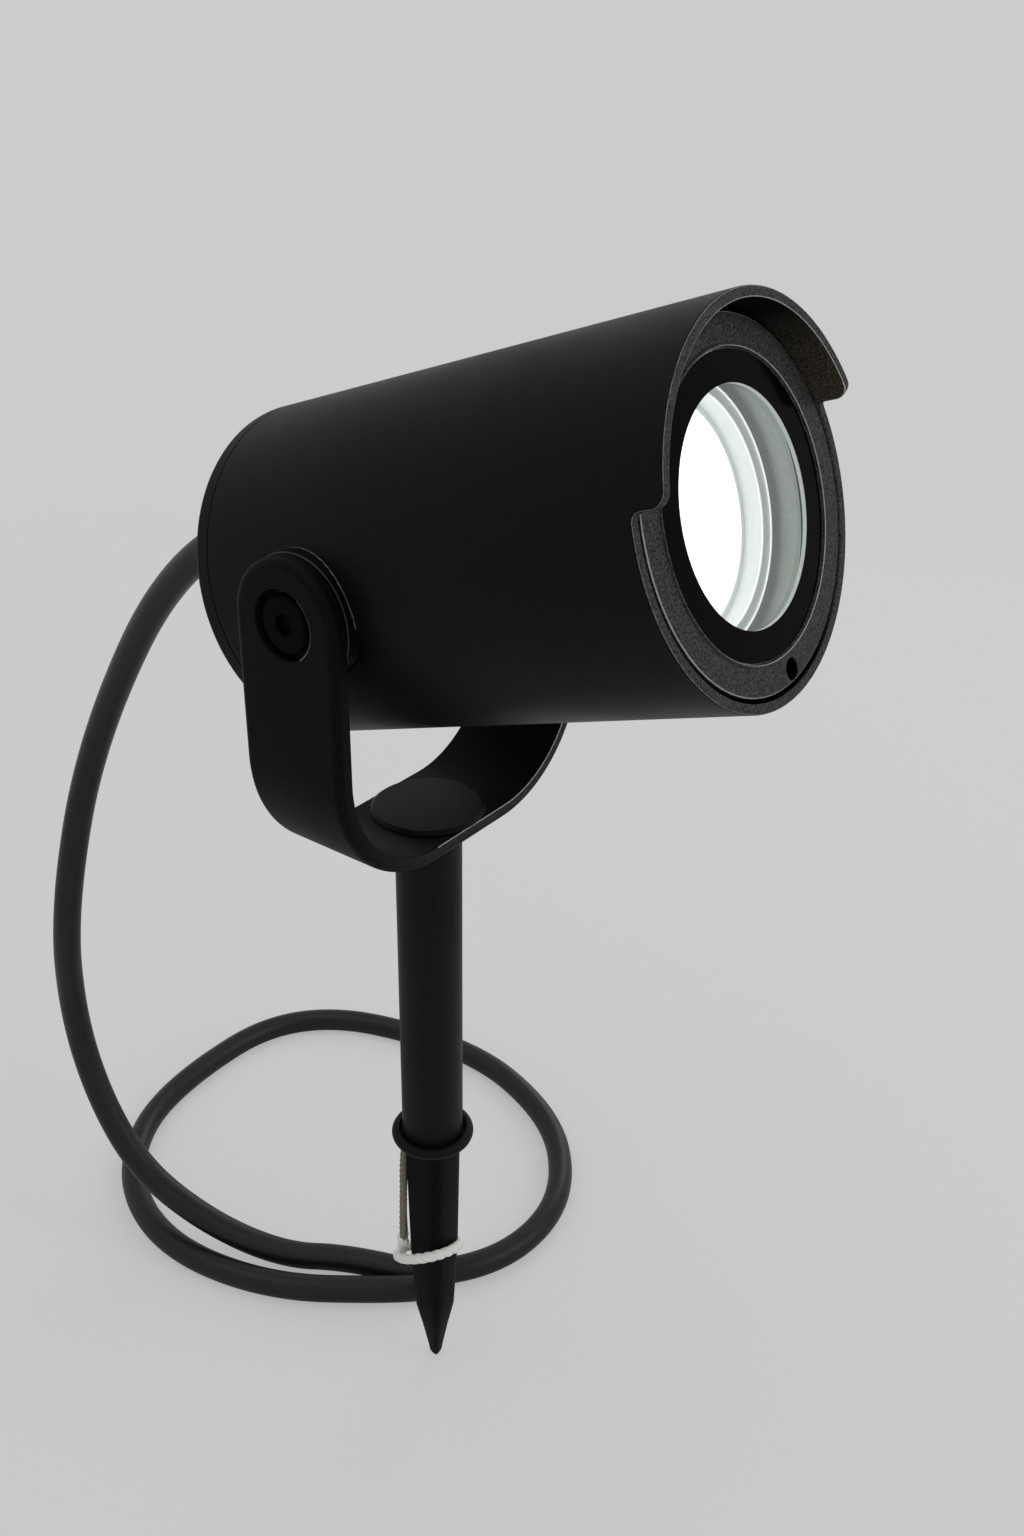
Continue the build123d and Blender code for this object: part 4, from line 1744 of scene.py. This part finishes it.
@dataclass
class Stake:
    """The post, its collar and the spike below it."""

    post_r: float = 7.6
    post_wall: float = 1.4
    post_low: float = 1.05
    post_high: float = 90.45
    washer_r: float = 7.4
    washer_low: float = 90.5
    washer_high: float = 91.3
    shank_r: float = 4.0
    rim_r: float = 1.45
    rim_at: float = 8.85
    groove_r: float = 8.3
    floor: float = 1.0
    stud_r: float = 3.95
    stud: float = 15.0
    stud_low: float = -2.0
    stud_edge: float = 0.4
    corner: float = 0.55
    row_high: float = 6.0
    sections: tuple[tuple[float, float], ...] = (
        (-0.05, 6.95),
        (-38.6, 6.26),
        (-60.2, 5.15),
        (-68.0, 3.5),
        (-76.2, 2.0),
        (-78.7, 1.6),
        (-79.8, 1.1),
        (-80.2, 0.5),
    )

    def collar(self) -> bpy.types.Object:
        """Build the dish with its rounded rim and the groove round the post.

        Returns:
            The collar.
        """
        last = math.pi - math.acos((self.rim_at - self.groove_r) / self.rim_r)
        arc = []
        for k in range(19):
            a = -math.pi / 2 + (last + math.pi / 2) * k / 18
            arc.append(
                (self.rim_at + self.rim_r * math.cos(a), self.rim_r + self.rim_r * math.sin(a))
            )
        x, z = arc[-1]
        arc[-1:] = [(x + 0.12, z + 0.02), (x + 0.02, z - 0.1), (x, z - 0.3)]
        inner, groove, floor = self.stud_r + SEAT, self.groove_r, self.floor
        profile = [(inner, 0), (self.rim_at - 0.4, 0), *arc]
        profile += [(groove, floor + 0.1), (groove - 0.1, floor), (inner, floor)]
        return turned("collar_dish", profile, UPRIGHT, segments=128)

    def spike(self) -> bpy.types.Object:
        """Build the square bar, softly cornered, that draws out to a rounded point.

        Returns:
            The spike with the stud that holds it in the post.
        """
        quarter = [math.radians(90 * k / 4) for k in range(5)]
        rows = []
        for (low_z, low_r), (high_z, high_r) in zip(self.sections, self.sections[1:]):
            count = max(1, round((low_z - high_z) / self.row_high))
            for k in range(count):
                rows.append(
                    (low_z + (high_z - low_z) * k / count, low_r + (high_r - low_r) * k / count)
                )
        rows.append(self.sections[-1])
        points, faces = [], []
        size = 4 * len(quarter)
        for height, half_diagonal in rows:
            s = half_diagonal / (math.sqrt(2) - self.corner * (math.sqrt(2) - 1))
            r = s * self.corner
            for turn in range(4):
                way, reach = math.pi / 4 + turn * math.pi / 2, (s - r) * math.sqrt(2)
                cx, cy = reach * math.cos(way), reach * math.sin(way)
                for a in quarter:
                    b = a + turn * math.pi / 2
                    points.append((cx + r * math.cos(b), cy + r * math.sin(b), height))
        for k in range(len(rows) - 1):
            for n in range(size):
                m = (n + 1) % size
                faces.append((k * size + n, k * size + m, (k + 1) * size + m, (k + 1) * size + n))
        faces.append(tuple(range(size)))
        faces.append(tuple((len(rows) - 1) * size + n for n in range(size)))
        bar = solid("bar", points, faces, UPRIGHT)
        r, low, high = self.stud_r, self.stud_low, self.stud
        profile = rounded([(0, low, 0), (r, low, 0), (r, high, self.stud_edge), (0, high, 0)])
        stud = turned("stud", profile, UPRIGHT, closed=False, segments=40)
        return joined("spike_bar", bar, stud)

    def build(self) -> None:
        """Build and dress the stake."""
        wall = ring(self.post_r - self.post_wall, self.post_r, self.post_low, self.post_high, 0.2)
        post = turned("post_barrel", wall, UPRIGHT, segments=96)
        put(post, "stake", "post_paint", POST_PAINT, "post_tube")
        flat = ring(self.shank_r + SEAT, self.washer_r, self.washer_low, self.washer_high, 0.15)
        washer = turned("friction_ring", flat, UPRIGHT, segments=96)
        put(washer, "stake", "gland_plastic", GLAND_NYLON, "friction_washer")
        put(self.collar(), "stake", "post_paint", POST_PAINT, "collar")
        put(self.spike(), "stake", "spike_paint", SPIKE_PAINT, "spike")
        dress_nodes(BLACK_STEEL_AND_PAINTED_SHADE, "swivel_bolt", "bolt_washer", "post_plug_upper", "post_plug_lower")


@dataclass
class StringTie:
    """The twisted string that ties the spike, with its knot, doubled strand and tail.

    The shares say how much of the string's radius the strands' lay and the strands themselves
    take. The pitch is the length of a turn of the lay, as a multiple of the string's radius.
    """

    centre: Vector = field(default_factory=lambda: Vector((-0.9, 1.3, -40.2)))
    loop_r: float = 8.2
    thick_r: float = 1.35
    front_angle: float = 216.5
    rise_front: float = 0.66
    rise_right: float = 0.26
    knot_side: float = 125.0
    knot_at: float = 8.3
    knot_level: float = -37.2
    knot_r: float = 2.2
    strand_r: float = 1.0
    spread: float = 5.5
    tail: float = 4.5
    tail_r: float = 0.7
    knot_cord_r: float = 1.0
    lay_share: float = 0.36
    strand_share: float = 0.64
    pitch: float = 5.4
    strands_in_cord: int = 3
    loop_points: int = 120
    knot_points: int = 90
    strand_points: int = 41
    strand_top: float = -0.9
    bow: float = 0.35
    draw_in: float = 1.1
    waver: float = 0.1

    def twist(self, piece: bpy.types.Object, outer: float, finish: Finish) -> bpy.types.Object:
        """Twist a line into a cord.

        Args:
            piece: the line.
            outer: radius of the finished string in millimetres.
            finish: its finish.

        Returns:
            The twisted piece, shaded smooth all over.
        """
        made = twist_tree().run(
            piece,
            Radius=outer * self.lay_share * MM,
            Strand=outer * self.strand_share * MM,
            Turns=1 / (outer * self.pitch * MM),
            Strands=self.strands_in_cord,
            Finish=finish.material(),
        )
        for face in made.data.polygons:
            face.use_smooth = True
        return made

    def loop(self) -> bpy.types.Object:
        """Build the turn round the spike, which stands higher in front than behind.

        Returns:
            The turn.
        """
        points, r, front = [], self.loop_r, math.radians(self.front_angle)
        for k in range(self.loop_points):
            a = math.tau * k / self.loop_points
            rise = self.rise_front * math.cos(a - front) + self.rise_right * math.sin(a - front)
            points.append(self.centre + Vector((r * math.cos(a), r * math.sin(a), r * rise)))
        line = line_piece("string_loop_cord", points, closed=True)
        return self.twist(line, self.thick_r, STRING_WHITE)

    def knot(self) -> bpy.types.Object:
        """Build the knot and its short tail.

        Returns:
            The knot.
        """
        side, up = math.radians(self.knot_side), Vector((0, 0, 1))
        out = Vector((math.cos(side), math.sin(side), 0))
        across = Vector((-math.sin(side), math.cos(side), 0))
        centre = out * self.knot_at + Vector((0, 0, self.knot_level))
        scale = (self.knot_r - 0.75) / 3
        points = []
        for k in range(self.knot_points):
            a = math.tau * k / self.knot_points
            u, v = math.sin(a) + 2 * math.sin(2 * a), math.cos(a) - 2 * math.cos(2 * a)
            points.append(
                centre + (across * u + up * v * 1.35 - out * math.sin(3 * a) * 1.2) * scale
            )
        line = line_piece("trefoil", points, closed=True)
        trefoil = self.twist(line, self.knot_cord_r, STRING_WHITE)
        start = centre - Vector((0, 0, self.knot_r * 0.5))
        lean = across * 0.2 + out * 0.1
        end = [start + Vector((0, 0, -self.tail * k / 6)) + lean * k * k / 6 for k in range(7)]
        tail = self.twist(line_piece("tail", end), self.tail_r, STRING_WHITE)
        return joined("string_knot_cord", trefoil, tail)

    def strands(self) -> bpy.types.Object:
        """Build the doubled strand that runs up beside the spike and under the collar, in painted
        shade.

        Returns:
            The doubled strand.
        """
        made = []
        for side in (-1, 1):
            low, high = self.knot_level + self.knot_r * 0.6, self.strand_top
            points = []
            for k in range(self.strand_points):
                f = k / (self.strand_points - 1)
                a = math.radians(self.knot_side + side * self.spread * (1 - 0.5 * f))
                out = Vector((math.cos(a), math.sin(a), 0))
                wave = self.bow * math.sin(math.pi * f) + self.waver * math.sin(9 * f + side)
                reach = self.knot_at - 0.2 - self.draw_in * f + wave
                points.append(out * reach + Vector((0, 0, low + (high - low) * f)))
            made.append(self.twist(line_piece("strand", points), self.strand_r, STRING_PAINTED_SHADE))
        return joined("string_strand_pair", *made)

    def build(self) -> None:
        """Build and dress the tie."""
        put(self.loop(), "stake", "string_fabric", STRING_WHITE, "string_loop")
        put(self.knot(), "stake", "string_fabric", STRING_WHITE, "string_knot")
        put(self.strands(), "stake", "string_fabric", STRING_PAINTED_SHADE, "string_strands")


# ---------------------------------------------------------------- lead


@dataclass
class Lead:
    """The round rubber lead, from the gland to its bared end."""

    radius: float = 3.8
    start: Place = (0.0, 45.52, 150.96)
    upper: tuple[Place, ...] = ((0.0, 72.99, 141.66), (-0.5, 119.0, 75.5), (-16.5, 120.5, 27.0))
    drop: tuple[Place, ...] = (
        (-15.0, 126.5, -13.5),
        (-17.0, 116.0, -39.5),
        (-17.0, 100.0, -58.5),
        (-11.5, 77.5, -70.5),
    )
    loop: tuple[Place, ...] = (
        (-3.0, 56.0, -76.6),
        (8.0, 41.0, -77.0),
        (18.0, 15.5, -77.0),
        (41.5, 1.5, -77.0),
        (70.0, 4.5, -77.0),
        (96.0, 28.5, -77.0),
        (107.5, 74.5, -77.0),
        (85.5, 138.0, -77.0),
        (25.0, 141.0, -77.0),
        (-7.5, 123.0, -77.0),
        (-22.0, 90.5, -77.0),
        (-15.0, 52.5, -77.0),
        (7.0, 22.0, -77.0),
        (12.2, 16.9, -77.0),
    )
    splits: tuple[float, float] = (32.8, -73.5)
    fineness: int = 24
    sides: int = 28

    def centreline(self) -> list[Vector]:
        """Read the centreline from the route's spline.

        Returns:
            Its points in metres.
        """
        route = [self.start, *self.upper, *self.drop, *self.loop]
        curve = bpy.data.curves.new("route", "CURVE")
        curve.dimensions = "3D"
        spline = curve.splines.new("NURBS")
        spline.points.add(len(route) - 1)
        for point, at in zip(spline.points, route):
            point.co = (*[c * MM for c in at], 1)
        spline.order_u = 3
        spline.use_endpoint_u = True
        spline.resolution_u = self.fineness
        piece = bpy.data.objects.new("route", curve)
        bpy.context.collection.objects.link(piece)
        graph = bpy.context.evaluated_depsgraph_get()
        graph.update()
        mesh = bpy.data.meshes.new_from_object(piece.evaluated_get(graph))
        points = [v.co.copy() for v in mesh.vertices]
        bpy.data.objects.remove(piece)
        bpy.data.meshes.remove(mesh)
        return points

    def tube(self, name: str, line: Sequence[Vector]) -> bpy.types.Object:
        """Build one stretch of the lead.

        Args:
            name: the object's name.
            line: its centreline in metres.

        Returns:
            The tube.
        """
        sides, r = self.sides, self.radius * MM
        tangent = (line[1] - line[0]).normalized()
        normal = tangent.orthogonal().normalized()
        points, faces = [], []
        for i, here in enumerate(line):
            ahead = (line[min(i + 1, len(line) - 1)] - line[max(i - 1, 0)]).normalized()
            normal = (tangent.rotation_difference(ahead) @ normal).normalized()
            tangent = ahead
            side = tangent.cross(normal)
            for k in range(sides):
                a = math.tau * k / sides
                points.append(here + (normal * math.cos(a) + side * math.sin(a)) * r)
        for i in range(len(line) - 1):
            for k in range(sides):
                j = (k + 1) % sides
                faces.append(
                    (i * sides + k, i * sides + j, (i + 1) * sides + j, (i + 1) * sides + k)
                )
        faces.append(tuple(range(sides)))
        faces.append(tuple((len(line) - 1) * sides + k for k in range(sides)))
        mesh = bpy.data.meshes.new(name)
        mesh.from_pydata(points, [], faces)
        piece = bpy.data.objects.new(name, tidy(mesh, sharp=50))
        bpy.context.collection.objects.link(piece)
        piece.data.materials.append(LEAD_RUBBER.material())
        return piece

    def build(self) -> None:
        line = self.centreline()
        split = [next(i for i, p in enumerate(line) if p.z < height * MM) for height in self.splits]
        parts = (line[: split[0] + 1], line[split[0] : split[1] + 1], line[split[1] :])
        names = ("lead_upper", "lead_drop", "lead_loop")
        ends = ("object", "object", "bare")
        for part, name, end in zip(parts, names, ends):
            piece = self.tube(name + "_rubber", part)
            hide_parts(name)
            if name == names[0]:
                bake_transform(piece)
            elif name == names[1]:
                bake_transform(piece)
            else:
                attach(piece, "stake")
        dress_nodes(CORE_BROWN, "lead_cores")


# ---------------------------------------------------------------- studio


@dataclass
class Studio:
    """Pale floor, soft lamps, plain background and the camera.

    A lamp is its name, its place and its side in metres, and its power in watts. The floor fades
    out over the span in metres. To the camera it shows the plain background by the share, and the
    rest is the floor with the object's shadow.
    """

    floor: float = -80.8
    floor_r: float = 2500.0
    floor_colour: Rgb = (220, 220, 220)
    floor_share: float = 0.6
    floor_fade: tuple[float, float] = (0.25, 0.9)
    background: Rgb = (204, 204, 204)
    lamps: tuple[tuple[str, Place, float, float], ...] = (
        ("front_softbox", (0.35, -1.0, 0.75), 0.8, 3.0),
        ("top_softbox", (-0.25, 0.1, 1.2), 1.1, 2.4),
        ("right_softbox", (1.0, 0.15, 0.45), 0.6, 1.6),
    )
    aim: Place = (0.02, 0.02, 0.05)
    eye: Place = (-208.5, -176.12, 249.14)
    azimuth: float = -53.7
    elevation: float = 27.85
    roll: float = 0.98
    lens: float = 33.01
    sensor: float = 36.0
    fill: float = 0.58

    def camera(self) -> None:
        """Set the camera at the photograph's angle."""
        a, e, roll = (math.radians(d) for d in (self.azimuth, self.elevation, self.roll))
        back = Vector((math.sin(a) * math.cos(e), -math.cos(a) * math.cos(e), math.sin(e)))
        right = Vector((math.cos(a), math.sin(a), 0))
        up = back.cross(right)
        across = right * math.cos(roll) + up * math.sin(roll)
        over = up * math.cos(roll) - right * math.sin(roll)
        data = bpy.data.cameras.new("camera")
        data.sensor_fit, data.sensor_height, data.lens = "VERTICAL", self.sensor, self.lens
        data.clip_start, data.clip_end = 0.01, 20
        camera = bpy.data.objects.new("camera", data)
        turn = Matrix((across, over, back)).transposed().to_4x4()
        camera.matrix_world = Matrix.Translation(Vector(self.eye) * MM) @ turn
        bpy.context.collection.objects.link(camera)
        bpy.context.scene.camera = camera

    def world(self) -> None:
        """Set the background for what is seen, and a softer fill for the rest."""
        world = bpy.data.worlds.new("studio")
        bpy.context.scene.world = world
        world.use_nodes = True
        nodes, links = world.node_tree.nodes, world.node_tree.links
        nodes.clear()
        path, output = nodes.new("ShaderNodeLightPath"), nodes.new("ShaderNodeOutputWorld")
        seen, fill = nodes.new("ShaderNodeBackground"), nodes.new("ShaderNodeBackground")
        mix = nodes.new("ShaderNodeMixShader")
        seen.inputs["Color"].default_value = linear(self.background)
        fill.inputs["Color"].default_value = (self.fill, self.fill, self.fill, 1)
        either = path.outputs["Is Camera Ray"]
        for kind in ("Is Glossy Ray", "Is Transmission Ray"):
            most = nodes.new("ShaderNodeMath")
            most.operation = "MAXIMUM"
            links.new(either, most.inputs[0])
            links.new(path.outputs[kind], most.inputs[1])
            either = most.outputs[0]
        links.new(either, mix.inputs[0])
        links.new(fill.outputs[0], mix.inputs[1])
        links.new(seen.outputs[0], mix.inputs[2])
        links.new(mix.outputs[0], output.inputs["Surface"])

    def ground(self) -> None:
        """Lay the floor, which fades into the background away from the object."""
        level = Matrix.Translation((0, 0, self.floor * MM)) @ UPRIGHT
        piece = turned("floor", [(0, 0), (self.floor_r, 0)], level, closed=False, segments=96)
        shader = Shader("floor_paper")
        links = shader.links
        path = shader.add("LightPath")
        plain, lit, soft = shader.add("Emission"), shader.add(
            "BsdfDiffuse"
        ), shader.add("MixShader")
        plain.inputs["Color"].default_value = linear(self.background)
        lit.inputs["Color"].default_value = linear(self.floor_colour)
        share = shader.add("Math", operation="MULTIPLY")
        share.inputs[1].default_value = self.floor_share
        links.new(path.outputs["Is Camera Ray"], share.inputs[0])
        links.new(share.outputs[0], soft.inputs[0])
        links.new(lit.outputs[0], soft.inputs[1])
        links.new(plain.outputs[0], soft.inputs[2])
        length = shader.add("VectorMath", operation="LENGTH")
        links.new(shader.place.outputs["Object"], length.inputs[0])
        fade = shader.between(length.outputs["Value"], 0, 1, *self.floor_fade)
        clear, mix = shader.add("BsdfTransparent"), shader.add("MixShader")
        links.new(fade, mix.inputs[0])
        links.new(soft.outputs[0], mix.inputs[1])
        links.new(clear.outputs[0], mix.inputs[2])
        piece.data.materials.append(shader.finish(mix))

    def lamp(self, name: str, place: Place, size: float, power: float) -> None:
        """Hang a soft square lamp that faces the object.

        Args:
            name: the lamp's name.
            place: where it hangs, in metres.
            size: its side in metres.
            power: its power in watts.
        """
        data = bpy.data.lights.new(name, "AREA")
        data.shape, data.size, data.energy = "SQUARE", size, power
        lamp = bpy.data.objects.new(name, data)
        lamp.location = place
        lamp.rotation_mode = "QUATERNION"
        lamp.rotation_quaternion = (Vector(self.aim) - Vector(place)).to_track_quat("-Z", "Y")
        bpy.context.collection.objects.link(lamp)

    def build(self) -> None:
        """Set up the whole studio."""
        self.camera()
        self.world()
        self.ground()
        for name, place, size, power in self.lamps:
            self.lamp(name, place, size, power)
        bpy.context.scene.view_settings.view_transform = "Standard"


def main() -> None:
    """Build the lamp, sub-assembly by sub-assembly, in its studio."""
    logging.basicConfig(level=logging.INFO, format="%(message)s")
    Studio().build()
    for assembly in (Lead(), Barrel(), Window(), Pivots(), Gland(), Yoke(), Stake(), StringTie()):
        LOG.info("-- %s", type(assembly).__name__)
        assembly.build()


if __name__ == "__main__":
    main()
